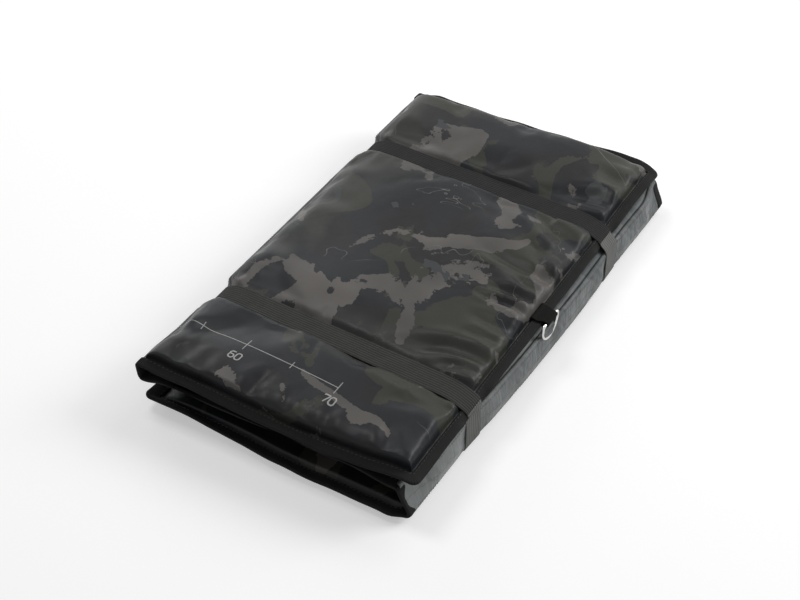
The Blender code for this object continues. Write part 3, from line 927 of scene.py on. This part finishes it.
def panel_cloth(name, panel, way, step, shape, simulated=None):
    """One cloth of a panel, from seam to seam and into the flanges. Its shape adds heights to the pad's."""
    columns, rows = panel_lines(panel, step)
    piece, i, j = grid_piece(name, columns, rows)
    x, y = columns[i], rows[j]
    rise, fullness = full_height(panel, x, y, way)
    out = np.maximum(*outside(panel, x, y))
    height = shape(x, y, fullness) + np.where(out > 0, 0.0006, 0.0002)
    if simulated is None:
        height = height + (rise - 0.0010) * fullness
    z = panel.seam + way * height + flange_lift(panel, x, y, out)
    set_coordinates(piece.data, np.stack([x, y, z], axis=1))
    grid = np.zeros((len(rows), len(columns), 3))
    grid[j, i] = coordinates(piece.data)
    across, along = cloth_places(grid)
    u, v = print_place(panel, across[j, i], along[j, i])
    set_print_place(piece, u, v, 0.0 if way == panel.face_way else back_layer)
    if simulated:
        simulated(piece, x, y)
    if way < 0:
        flip_faces(piece)
    return piece


def top_rise(x, y, fullness):
    """How far the top cover stands above its seams: full puffs between the straps, and low behind each."""
    press = pressed(x, y)
    across = (2 * x - top.left - top.right) / (top.right - top.left)
    behind = np.zeros_like(x)
    for where in strap_places:
        past = strap_distance(x, y, where) - seat_half
        behind = np.maximum(behind, np.where(past > -seat_half, 1 - ramp(past, 0.004, 0.046), 0))
    height = puff_rise + puff_crown * np.maximum(0, 1 - across ** 2) * (1 - press)
    corner = np.exp(-((x - top.right) ** 2 + (y - far_seam) ** 2) / corner_reach ** 2)
    height = (height - behind_drop * behind * (1 - press)) * (1 - corner_drop * corner)
    height = height - channel_depth * press
    left_side = pad_edge(x - top.left, 0.020 + 0.016 * press, 0.58)
    right_side = pad_edge(top.right - x, 0.0105 + 0.0115 * press, 0.48)
    near_end, far_end = pad_edge(y - near_seam, 0.0065, 0.42), pad_edge(far_seam - y, 0.0115, 0.46)
    return height * (left_side * right_side) * near_end * far_end


def blow_up_cover(piece, x, y):
    """Simulates the cover, held at its seams and under the straps."""
    at_side = (x < top.left + 1e-5) | (x > top.right - 1e-5)
    at_end = (y < near_seam + 1e-5) | (y > far_seam - 1e-5)
    inflate(piece, at_side | at_end | (nearest_strap(x, y) < seat_half))


def top_folds(x, y):
    """Soft folds in the top cover, each from its faint inner end to its deep end at a seam or a strap."""
    total = np.zeros_like(x)
    for start, end, depth, width in top_fold_lines:
        run = Vector(end) - Vector(start)
        length = run.length
        ahead, aside = run / length, Vector((-run.y, run.x)) / length
        along = ((x - start[0]) * ahead.x + (y - start[1]) * ahead.y) / length
        off = (x - start[0]) * aside.x + (y - start[1]) * aside.y
        off = off - 0.0022 * np.sin(along * 4.2 + start[1] * 70)
        wide = width * (0.75 + 0.45 * np.clip(along, 0, 1))
        fade = ramp(along, -0.15, 0.75) * (1 - ramp(along, 0.98, 1.06))
        ridge = np.exp(-(((abs(off) - 1.75 * wide) / wide) ** 2))
        total -= 1.60 * depth * fade * (np.exp(-((off / wide) ** 2)) - 0.42 * ridge)
    return total


def pleats(along, across, inward, pitch, seed):
    """The small pleats that a seam draws into the cloth beside it."""
    phase = along + 0.0015 * waver(along, across, 0.05, seed)
    depth = 0.7 + 0.5 * waver(along, across, 0.06, seed + 1)
    beside = ramp(inward, -0.001, 0.003) * (1 - ramp(inward, 0.003, 0.010))
    return np.sin(2 * math.pi * phase / pitch) * depth * beside


def make_top_cover():
    piece = panel_cloth("top_cover", top, 1, cover_step, top_rise, blow_up_cover)
    add_smoother(piece)
    apply_modifiers(piece)
    places = coordinates(piece.data)
    x, y = places[:, 0].copy(), places[:, 1].copy()
    right_in, near_in, far_in = top.right - x, y - near_seam, far_seam - y
    end_in = np.minimum(near_in, far_in)
    edge = np.minimum(np.minimum(x - top.left, right_in), end_in)
    inside = ramp(edge, 0.0, 0.010)
    free = 1 - pressed(x, y, 0.004)
    lift = top_folds(x, y) * inside * free + 0.0006 * waver(x, y, 0.085, 11) * inside * free
    lift = lift + side_pleat_height * pleats(y, x, right_in, side_pleat, 13) * free
    lift = lift + end_pleat_height * pleats(x, y, end_in, end_pleat, 17)
    places[:, 2] += np.where(edge < -0.0002, 0, lift)
    places[:, 0] += 0.0033 * lobe(right_in, 0.014) * free
    places[:, 1] += 0.0036 * lobe(far_in, 0.018) - 0.0058 * lobe(near_in, 0.018)
    for where in strap_places:
        off = strap_distance(x, y, where)
        places[:, 1] -= np.sign(off) * 0.0016 * lobe(abs(off) - seat_half, 0.011) * inside
        places[:, 2] -= 0.0022 * np.exp(-(((off + 0.0142) / 0.0018) ** 2)) * inside
    set_coordinates(piece.data, places)
    shape = bmesh.new()
    shape.from_mesh(piece.data)
    tree = BVHTree.FromBMesh(shape)
    add_wall(piece, cloth_thickness)
    apply_modifiers(piece)
    shade_smooth(piece)
    settle_on(piece, top.body)
    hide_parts("top_upper_skin", "top_foam")
    dress(piece, camouflage)
    return tree


def slack(seed, depth=0.0003):
    """The uneven fall of a plain cloth on its pad."""
    def shape(x, y, fullness):
        return depth * waver(x, y, 0.070, seed) * np.clip(fullness, 0, 1) ** 2 - depth

    return shape


def pressed_below(x, y, fullness):
    """The underside, drawn in where the straps run under it."""
    return -0.0020 * pressed(x, y, 0.012) * np.clip(fullness, 0, 1)


def make_panel_cloths():
    """The other five cloths: faces in camouflage, backs in the plain coated cloth."""
    cloths = [
        ("top_back", top, -1, ("top_lower_skin",), backing, slack(21)),
        ("middle_back", middle, 1, ("middle_upper_skin",), backing, slack(23)),
        ("middle_face", middle, -1, ("middle_lower_skin", "middle_foam"), camouflage, slack(25)),
        ("bottom_face", bottom, 1, ("bottom_upper_skin", "bottom_foam"), camouflage, slack(27)),
        ("bottom_back", bottom, -1, ("bottom_lower_skin",), backing, pressed_below),
    ]
    for name, panel, way, nodes, finish, shape in cloths:
        piece = panel_cloth(name, panel, way, panel_step, shape)
        add_smoother(piece)
        add_wall(piece, cloth_thickness)
        apply_modifiers(piece)
        shade_smooth(piece)
        settle_on(piece, panel.body)
        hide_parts(*nodes)
        dress(piece, finish)


# The edge tapes and their stitches


def band_section(steps=5):
    """A folded tape's section, from its upper inner edge round the outer edge to the lower inner one."""
    upper = [(0.0, 0.60), (0.035, 0.98), (0.12, 1.12), (0.30, tape_bulge), (0.50, 1.14), (0.72, 1.06)]
    points = [(share, tape_half * height) for share, height in upper]
    for angle in arc_angles(math.pi, steps):
        turn = math.pi / 2 - angle
        points.append((0.90 + 0.10 * math.cos(turn), tape_half * 0.94 * math.sin(turn)))
    return points + [(share, -tape_half * height) for share, height in reversed(upper)]


def band_piece(name, inner, outer, normals, distance):
    """A folded tape between its inner and outer edge lines, with the direction of its thickness."""
    section = band_section()
    ring = section + [section[0]]
    piece, i, j = grid_piece(name, ring, inner)
    share, height = np.array(ring)[i].T
    places = inner[j] + (outer[j] - inner[j]) * share[:, None] + normals[j] * height[:, None]
    set_coordinates(piece.data, places)
    wide = np.linalg.norm(outer[j] - inner[j], axis=1)
    set_print_place(piece, distance[j], share * wide, np.where(height >= 0, 0.0, 0.1))
    close_up(piece)
    return piece


def outer_lines(panel, turn_steps=8):
    """The tape's outer edge round a panel: from fold to fold at each end, or round its free side."""
    side = panel.free_side
    near, far = near_seam - tape_out, far_seam + tape_out
    if side == 0:
        xs = np.array(evenly(panel.left, panel.right, 0.004))
        return [np.stack([xs, np.full_like(xs, y)], axis=1) for y in (near, far)]
    fold = panel.left if side > 0 else panel.right
    edge = (panel.right + tape_out) if side > 0 else (panel.left - tape_out)
    corner_x = edge - side * tape_corner
    xs = np.array(evenly(min(fold, corner_x), max(fold, corner_x), 0.004))
    if side < 0:
        xs = xs[::-1]
    points = [(x, near) for x in xs]
    turns = [(math.sin(angle), math.cos(angle)) for angle in arc_angles(math.pi / 2, turn_steps)[1:-1]]
    points += [(corner_x + side * tape_corner * s, near + tape_corner - tape_corner * c) for s, c in turns]
    points += [(edge, y) for y in evenly(near + tape_corner, far - tape_corner, 0.004)]
    points += [(corner_x + side * tape_corner * c, far - tape_corner + tape_corner * s) for s, c in turns]
    return [np.array(points + [(x, far) for x in xs[::-1]])]


def inner_line(panel, outer):
    """The tape's inner edge, point for point beside the outer one."""
    low_x = panel.left - (tape_in if panel.free_side < 0 else 0)
    high_x = panel.right + (tape_in if panel.free_side > 0 else 0)
    inner_y = np.clip(outer[:, 1], near_seam - tape_in, far_seam + tape_in)
    return np.stack([np.clip(outer[:, 0], low_x, high_x), inner_y], axis=1)


def raised(panel, line, out):
    z = panel.seam + flange_lift(panel, line[:, 0], line[:, 1], np.full(len(line), out))
    return np.column_stack([line, z])


def stitch_row(name, line, pitch, length, size):
    """A row of short threads along a line of places, modelled once and set along it."""
    deselect()
    bpy.ops.mesh.primitive_uv_sphere_add(segments=6, ring_count=4, radius=0.5)
    bpy.context.object.scale = (length, size, size)
    piece = place_primitive(name)
    row = piece.modifiers.new("row", "ARRAY")
    row.use_relative_offset = False
    row.use_constant_offset = True
    row.constant_offset_displace = (pitch, 0, 0)
    row.count = max(1, int(distances(line)[-1] / pitch))
    guide = bpy.data.curves.new(name, "CURVE")
    guide.dimensions = "3D"
    spline = guide.splines.new("POLY")
    spline.points.add(len(line) - 1)
    for point, place in zip(spline.points, line):
        point.co = (*place, 1)
    guide_piece = bpy.data.objects.new(name + "_guide", guide)
    bpy.context.scene.collection.objects.link(guide_piece)
    follow = piece.modifiers.new("follow", "CURVE")
    follow.object = guide_piece
    apply_modifiers(piece)
    bpy.data.objects.remove(guide_piece)
    bpy.data.curves.remove(guide)
    shade_smooth(piece)
    return piece


def make_panel_tapes():
    """Each panel's tape, in one run or two, and the stitches on its upper and lower side."""
    runs = {
        top: {"top_edging": "top_binding"},
        middle: {"middle_edging_near": "middle_near_binding", "middle_edging_far": "middle_far_binding"},
        bottom: {"bottom_edging": "bottom_binding"},
    }
    for panel, bindings in runs.items():
        threads = []
        for (name, node), outer in zip(bindings.items(), outer_lines(panel)):
            low, high = raised(panel, inner_line(panel, outer), tape_in), raised(panel, outer, tape_out)
            normals = np.cross(high - low, np.gradient((low + high) / 2, axis=0))
            normals /= np.linalg.norm(normals, axis=1, keepdims=True)
            normals *= np.sign(normals[:, 2:3])
            piece = band_piece(name, low, high, normals, distances((low + high) / 2))
            settle_on(piece, panel.body)
            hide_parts(node)
            dress(piece, tape)
            for way in (1, -1):
                line = low + (high - low) * stitch_share + normals * tape_half * tape_bulge * way
                threads.append(stitch_row(f"{name}_stitch{way}", line, *tape_stitch))
        stitches = joined(f"{panel.name}_edging_stitches", threads)
        settle_on(stitches, panel.body)
        dress(stitches, thread)


# The folds


def bend(piece, fold):
    """The piece follows its panel up to the fold and the spine beyond it."""
    settle(piece, fold.spine)
    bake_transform(piece)


def corner_places(outer, radius, z, way, steps=6):
    """Places across and up round a spine's corner, from level to upright."""
    angles = arc_angles(math.pi / 2, steps)
    return [(outer - radius + radius * math.sin(a), z + way * radius * (1 - math.cos(a))) for a in angles]


def fold_path(fold, offset, tuck):
    """The cloth's line from a panel's seam round its fold to the spine's middle, as places across and up."""
    start = (fold_x - tuck, fold.cloth_z)
    outer = fold_x + offset
    radius = min(0.0032, abs(fold.middle_z - fold.cloth_z) * 0.45)
    corner = corner_places(outer, radius, fold.cloth_z, fold.way)
    points = [start] + [(max(across, start[0]), up) for across, up in corner]
    return np.array(points + [(outer, z) for z in np.linspace(points[-1][1], fold.middle_z, 6)[1:]])


def spine_swell(fold, y, share, strapped):
    """How far a spine's outer cloth stands out: it swells between the straps and is drawn in under them."""
    ends = ramp(np.minimum(y - near_seam, far_seam - y), 0.0, spine_end_reach)
    rounded = np.sin(share * math.pi / 2)
    return fold.bulge * rounded * ends * (1 - strapped) - spine_draw * strapped * rounded


def spine_creases(fold, y, z, share, strapped):
    """The slanting creases in a spine's outer cloth, fainter on the left side."""
    ends = ramp(np.minimum(y - near_seam, far_seam - y), 0.0, spine_end_reach)
    slant = y + 0.75 * z
    fine = 0.00062 * waver(slant, z * 0.15, 0.011, 31) * np.sin(share * math.pi / 2) ** 0.5
    broad = 0.00080 * waver(slant, z * 0.15, 0.034, 33) * share
    return (fine + broad) * ends * (1 - strapped) * (1.0 if fold.side > 0 else 0.5)


def fold_cloth(name, fold, outer_cloth):
    """Half of a spine's cloth: it bends between its panel and the spine."""
    offset, tuck = (outer_offset, outer_tuck) if outer_cloth else (inner_offset, inner_tuck)
    path = fold_path(fold, offset, tuck)
    rows = tucked(evenly(near_seam, far_seam, spine_step))
    piece, i, j = grid_piece(name, path, rows)
    x, z, y = path[i, 0], path[i, 1], rows[j]
    if outer_cloth:
        share = np.clip((z - fold.cloth_z) / (fold.middle_z - fold.cloth_z), 0, 1)
        strapped = pressed(x * fold.side, y, spine_channel)
        x = x + spine_swell(fold, y, share, strapped) + spine_creases(fold, y, z, share, strapped)
    inset = path[i, 0] - path[-1, 0]
    beyond = (y < near_seam - merge_distance) | (y > far_seam + merge_distance)
    taped_x = fold_x + (offset + tape_offset) / 2 + (0.0004 if outer_cloth else -0.0004)
    x = np.where(beyond, taped_x + inset, x)
    set_coordinates(piece.data, np.stack([x * fold.side, y, z], axis=1))
    edge = fold.panel.left if fold.side < 0 else fold.panel.right
    panel_edge = print_place(fold.panel, np.array(edge), 0.0)[0]
    camouflaged = outer_cloth == (fold.side < 0)
    along = panel_edge + fold.way * distances(path)[i]
    set_print_place(piece, along, y + print_slope * top.left, 0.0 if camouflaged else back_layer)
    edit_all(piece)
    bpy.ops.mesh.normals_make_consistent(inside=False)
    bpy.ops.object.mode_set(mode="OBJECT")
    outwards = sum(polygon.normal.x for polygon in piece.data.polygons) * fold.side > 0
    if outwards != outer_cloth:
        flip_faces(piece)
    add_smoother(piece)
    add_wall(piece, cloth_thickness)
    apply_modifiers(piece)
    shade_smooth(piece)
    bend(piece, fold)
    dress(piece, camouflage if camouflaged else creased)
    return piece


def fold_stitches(fold):
    """The stitched lines of a spine: one beside its fold and, at the lowest fold, one further in."""
    path = fold_path(fold, outer_offset, outer_tuck)
    rows = np.array(evenly(near_seam + 0.004, far_seam - 0.004, 0.006))
    threads = []
    for number, off in enumerate((0.0032, 0.0052) if fold.joint == "unfold" else (0.0030,)):
        z = fold.cloth_z + fold.way * off
        share = off / abs(fold.middle_z - fold.cloth_z)
        strapped = pressed(np.full_like(rows, fold.side * fold_x), rows, spine_channel)
        base = np.interp(z * fold.way, path[:, 1] * fold.way, path[:, 0])
        x = (base + spine_swell(fold, rows, share, strapped) + 0.0001) * fold.side
        line = np.stack([x, rows, np.full_like(rows, z)], axis=1)
        threads.append(stitch_row(f"{fold.joint}_stitch{number}", line, *spine_stitch))
    piece = joined(f"{fold.joint}_stitches", threads)
    bend(piece, fold)
    dress(piece, thread)


def fold_tape(name, fold):
    """The edge tape round a fold, at both ends of the mat."""
    axis_z = fold.panel.seam
    radius = 0.0022 if fold.joint == "top_fold" else min(0.0042, abs(fold.middle_z - axis_z) * 0.6)
    outer = fold_x + tape_offset
    start_x = fold_x - fold_gap
    corner = corner_places(outer, radius, axis_z, fold.way)
    path = [(start_x, axis_z)] + [place for place in corner if place[0] > start_x + 0.0002]
    path = np.array(path + [(outer, z) for z in np.linspace(path[-1][1], fold.middle_z, 5)[1:]])
    across, up = path.T
    ahead = directions(path)
    normals = np.stack([-ahead[:, 1] * fold.side, np.zeros(len(path)), ahead[:, 0]], axis=1)
    share = (up - axis_z) / (fold.middle_z - axis_z)
    halves = []
    for seam, side in ((near_seam, -1), (far_seam, 1)):
        cloth_end = spine_end_cloth if fold.side > 0 and side < 0 else 0.0
        inner_y = seam + side * (tape_in + cloth_end * ramp(share, 0.15, 0.80))
        inner = np.stack([across * fold.side, inner_y, up], axis=1)
        out = np.stack([across * fold.side, np.full(len(path), seam + side * tape_out), up], axis=1)
        halves.append(band_piece(name + str(side), inner, out, normals, distances(path)))
    piece = joined(name, halves)
    bend(piece, fold)
    dress(piece, tape)
    return piece


def make_folds():
    for fold in folds:
        outer = fold_cloth(f"{fold.joint}_outer_cloth", fold, True)
        inner = fold_cloth(f"{fold.joint}_inner_cloth", fold, False)
        edging = fold_tape(f"{fold.joint}_edging", fold)
        fold_stitches(fold)
        if fold.joint in ("unfold", "upper_fold"):
            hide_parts(f"{fold.spine}_outer_ply")
            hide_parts(f"{fold.spine}_inner_ply")
            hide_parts(f"{fold.spine}_near_binding", f"{fold.spine}_far_binding")


# The straps, the tab and the ring


def surface_height(tree, x, y, start=0.2):
    place = tree.ray_cast(Vector((x, y, start)), Vector((0, 0, -1)))[0]
    return place.z if place else None


def ribbon_piece(name, path, width, thickness, middle_y, slope=0.0, rib_height=0.0):
    """A woven strap along a line of places across and up: it lies on the line and thickens to its left."""
    ahead = directions(path)
    lines = np.linspace(-0.97, 0.97, 41 if rib_height else 9)
    ribs_up = rib_height * (0.5 + 0.5 * np.cos(lines * width * math.pi / strap_rib)) - rib_height
    section = [(-1.0, thickness * 0.5)] + [(s, thickness + r) for s, r in zip(lines, ribs_up)]
    section += [(1.0, thickness * 0.5), (0.97, 0.0), (0.3, 0.0), (-0.3, 0.0), (-0.97, 0.0)]
    ring = section + [section[0]]
    piece, i, j = grid_piece(name, ring, path)
    share, up = np.array(ring)[i].T
    aside = share * width / 2
    x = path[j, 0] - ahead[j, 1] * up
    z = path[j, 1] + ahead[j, 0] * up
    set_coordinates(piece.data, np.stack([x, middle_y + slope * path[j, 0] + aside, z], axis=1))
    set_print_place(piece, distances(path)[j], aside, 0.0)
    close_up(piece)
    return piece


def turned_corner(corner, before, after, radius, steps=6):
    """Places round a corner of this radius, from the side of one point to the side of another."""
    corner, before, after = np.array(corner, float), np.array(before, float), np.array(after, float)
    start = corner + (before - corner) / np.linalg.norm(before - corner) * radius
    end = corner + (after - corner) / np.linalg.norm(after - corner) * radius
    centre = start + end - corner
    angles = arc_angles(math.pi / 2, steps)
    return [tuple(centre + (start - centre) * math.cos(a) + (end - centre) * math.sin(a)) for a in angles]


def grip_line():
    """Where the outside of the taped flange lies under a strap, from its seam to its edge."""
    points = []
    for length in np.linspace(0.0012, tape_out + 0.0006, 14):
        out, up, angle = bent(length, -strap_grip)
        x, z = top.right + out - taped_half * math.sin(angle), top.seam + up + taped_half * math.cos(angle)
        points.append((x, z))
    return points


def cover_line(tree, middle_y):
    """A strap's way over the top cover: it rests on the highest of five places across its width."""
    line = []
    for x in np.linspace(top.left + 0.0016, top.right - 0.0030, 96):
        y = middle_y + strap_slope * x
        heights = [surface_height(tree, x, y + aside) for aside in (-0.011, -0.0055, 0, 0.0055, 0.011)]
        line.append((x, max(height or top.seam for height in heights) + 0.0002))
    line = np.array(line)
    smooth = np.convolve(line[:, 1], np.array([1, 4, 6, 4, 1]) / 16, "same")
    line[2:-2, 1] = np.maximum(smooth[2:-2], line[2:-2, 1] - 0.0003)
    across, along, up = panel_shift(top.body, line[:, 0], middle_y + strap_slope * line[:, 0])
    return (line + np.stack([across, up], axis=1))[3:]


def lean(strap):
    """A strap's lower run stands out or in with the side of the folded mat."""
    places = coordinates(strap.data)
    x, y, z = places.T
    places[:, 0] += panel_shift(bottom.body, x, y)[0] * (1 - ramp(z, 0.0405, 0.0475))
    set_coordinates(strap.data, places)


def make_straps(tree):
    """Each strap's upper run, over the cover and the taped flange, and its elastic run round the pack."""
    flange_points = grip_line()
    break_z = top.seam - 0.0020
    over_edge = [place for place in flange_points if place[1] > break_z]
    below_edge = [place for place in flange_points if place[1] < break_z - 0.0003]
    start = (over_edge[-1][0] + 0.0001, over_edge[-1][1] - 0.0003)
    down, run_z = (right_run, middle.seam - 0.001), floor_clear + strap_thickness
    right, left = (right_run, run_z), (-left_run, run_z)
    around = [start] + below_edge + [down] + turned_corner(right, down, left, strap_corner)
    around += turned_corner(left, right, left_line[-1], strap_corner) + left_line[::-1]
    for where, middle_y in strap_places.items():
        points = [parting, (parting[0] + 0.0008, parting[1] + 0.0011)]
        points += [tuple(place) for place in cover_line(tree, middle_y)] + over_edge
        path, size = relaxed(smoothed_path(points, 0.0020)), (strap_width, strap_thickness)
        over = ribbon_piece(f"{where}_strap", path, *size, middle_y, strap_slope, strap_rib_height)
        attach(over, "top_panel")
        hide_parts(f"{where}_strap_over")
        dress(over, Finish("ribbed_elastic", strap_webbing[where]))
        path, size = relaxed(smoothed_path(around, 0.0030)), (strap_width - elastic_narrower, strap_thickness)
        under = ribbon_piece(f"{where}_elastic", path, *size, middle_y, strap_slope)
        lean(under)
        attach(under, "top_panel")
        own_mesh(under)
        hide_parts(f"{where}_strap_under")
        dress(under, stretched)


def make_tab():
    """The webbing tab: it is sewn on the taped flange and folded round the ring's bar."""
    half, radius = taped_half, ring_wire / 2 + 0.0002
    start_x, edge = top.right + 0.0008, top.right + tape_out
    hump = [(0, 0.0003), (0.0006, 0.0014), (0.0016, 0.0016), (0.0030, 0.0008), (0.005, 0)]
    points = [(start_x + across, half + up) for across, up in hump] + [(edge, half)]
    for angle in arc_angles(math.pi, 12):
        turn = math.pi / 2 - angle
        points.append((ring_bar.x + radius * math.cos(turn), radius * math.sin(turn)))
    points += [(edge, -half), (start_x, -half)]
    path = smoothed_path([(x, z + top.seam) for x, z in points], 0.0008)
    tab = ribbon_piece("webbing_tab", path, tab_width, tab_thickness, ring_bar.y)
    places = coordinates(tab.data)
    narrow = 1 - (1 - tab_end_width / tab_width) * ramp(places[:, 0], edge - 0.005, ring_bar.x - 0.002)
    places[:, 1] = ring_bar.y + (places[:, 1] - ring_bar.y) * narrow
    set_coordinates(tab.data, places)
    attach(tab, "top_panel")
    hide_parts("ring_tab")
    dress(tab, tab_webbing)


def pull_wire(along, up):
    bpy.ops.mesh.extrude_region_move(TRANSFORM_OT_translate={"value": (0, along, up)})


def turn_wire(steps, degrees, along, up):
    """Turns the wire's end about a point beside the middle of the bar."""
    centre = (ring_bar.x, ring_bar.y + along, ring_bar.z + up)
    bpy.ops.mesh.spin(steps=steps, angle=math.radians(degrees), center=centre, axis=(1, 0, 0))


def make_ring():
    """The D-ring: a wire's round section led along the bar, round both corners and round the bow."""
    reach = ring_width / 2 - ring_corner
    leg = ring_depth - ring_corner - ring_width / 2
    deselect()
    bpy.ops.mesh.primitive_circle_add(
        vertices=20, radius=ring_wire / 2, location=ring_bar, rotation=(math.pi / 2, 0, 0)
    )
    piece = place_primitive("ring")
    edit_all(piece)
    pull_wire(reach, 0)
    turn_wire(8, 90, reach, -ring_corner)
    pull_wire(0, -leg)
    turn_wire(48, 180, 0, -ring_corner - leg)
    pull_wire(0, leg)
    turn_wire(8, 90, -reach, -ring_corner)
    pull_wire(reach, 0)
    bpy.ops.mesh.select_all(action="SELECT")
    bpy.ops.mesh.remove_doubles(threshold=merge_distance)
    bpy.ops.mesh.normals_make_consistent(inside=False)
    bpy.ops.object.mode_set(mode="OBJECT")
    shade_smooth(piece)
    tilt(piece)
    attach(piece, "d_ring")
    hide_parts("d_ring")
    dress(piece, plating)


def tilt(piece):
    """The ring's bow hangs a little askew below its bar."""
    places = coordinates(piece.data)
    x, y, z = places.T
    angle = ring_tilt * ramp(ring_bar.z - z, 0.0015, 0.0110)
    off, up = y - ring_bar.y, z - ring_bar.z
    places[:, 1] = ring_bar.y + off * np.cos(angle) - up * np.sin(angle)
    places[:, 2] = ring_bar.z + off * np.sin(angle) + up * np.cos(angle)
    set_coordinates(piece.data, places)


def make_numbers(tree):
    """The scale's numbers, each stroke a thin printed film that lies on the top cover."""
    strokes = []
    sides = np.array((-0.5, 0, 0.5))
    cosine, sine = math.cos(-print_slope), math.sin(-print_slope)
    for text, (middle_x, middle_y) in number_places.items():
        for k, digit in enumerate(text):
            offset = (k - (len(text) - 1) / 2) * (digit_width + digit_gap)
            outline = (np.array(digit_shares[digit]) - 0.5) * (digit_width, digit_height) + (offset, 0)
            line = smoothed_path(outline, 0.00045)
            ahead = directions(line)
            aside = np.stack([-ahead[:, 1], ahead[:, 0]], axis=1)
            piece, i, j = grid_piece(f"number_{text}_{k}", sides, line)
            across, along = (line[j] + aside[j] * (sides[i] * digit_stroke)[:, None]).T
            x = middle_x + across * cosine - along * sine
            y = middle_y + across * sine + along * cosine
            z = [surface_height(tree, a, b) + film_clear for a, b in zip(x, y)]
            set_coordinates(piece.data, np.stack([x, y, z], axis=1))
            strokes.append(piece)
    piece = joined("scale_numbers", strokes)
    if sum(polygon.normal.z for polygon in piece.data.polygons) < 0:
        flip_faces(piece)
    add_wall(piece, film_thickness)
    apply_modifiers(piece)
    settle_on(piece, top.body)
    dress(piece, ink)


# The studio


def seen_directly(tree):
    """1 for what the camera, a reflection or a glass sees, 0 for the light that falls on things."""
    rays = add_node(tree, "ShaderNodeLightPath").outputs
    mirrored = maths(tree, "MAXIMUM", rays["Is Glossy Ray"], rays["Is Transmission Ray"])
    return maths(tree, "MAXIMUM", rays["Is Camera Ray"], mirrored)


def make_stage():
    deselect()
    bpy.ops.mesh.primitive_plane_add(size=floor_size, location=(0, 0, floor_z))
    floor = bpy.context.object
    floor.name = "floor"
    material, tree, surface = new_material("pale floor")
    feed(tree, surface, {"Base Color": (0.70, 0.70, 0.70), "Roughness": 0.9, "Specular IOR Level": 0.1})
    strength = maths(tree, "MULTIPLY", seen_directly(tree), floor_glow)
    glow = add_node(tree, "ShaderNodeEmission", {"Color": (1, 1, 1), "Strength": strength})
    both = add_node(tree, "ShaderNodeAddShader", {0: surface.outputs[0], 1: glow.outputs[0]})
    feed(tree, tree.nodes["Material Output"], {"Surface": both.outputs[0]})
    floor.data.materials.append(material)


def add_to_scene(name, data, place, direction):
    """Links a light or a camera at a place, looking in a direction."""
    made = bpy.data.objects.new(name, data)
    made.location = place
    made.rotation_mode = "QUATERNION"
    made.rotation_quaternion = direction.to_track_quat("-Z", "Y")
    bpy.context.scene.collection.objects.link(made)
    return made


def make_lights():
    for name, (place, size, power) in softboxes.items():
        light = bpy.data.lights.new(name, "AREA")
        light.shape = "RECTANGLE"
        light.size, light.size_y = size
        light.energy = power
        add_to_scene(name, light, place, Vector(light_aim) - Vector(place))
    world = bpy.data.worlds.new("studio")
    bpy.context.scene.world = world
    world.use_nodes = True
    tree = world.node_tree
    strength = maths(tree, "MULTIPLY_ADD", seen_directly(tree), 1 - ambient, ambient)
    feed(tree, tree.nodes["Background"], {"Color": (1, 1, 1), "Strength": strength})


def make_camera():
    camera = bpy.data.cameras.new("camera")
    camera.lens = camera_lens
    camera.sensor_width = camera_sensor
    camera.clip_start, camera.clip_end = 0.05, 50
    level = math.cos(camera_elevation)
    across, along = math.sin(camera_azimuth) * level, -math.cos(camera_azimuth) * level
    back = Vector((across, along, math.sin(camera_elevation)))
    place = Vector(camera_aim) + back * camera_distance
    bpy.context.scene.camera = add_to_scene("camera", camera, place, -back)


cover_surface = make_top_cover()
make_panel_cloths()
make_panel_tapes()
make_folds()
make_straps(cover_surface)
make_numbers(cover_surface)
make_tab()
make_ring()

make_stage()
make_lights()
make_camera()
bpy.context.scene.view_settings.view_transform = "Standard"
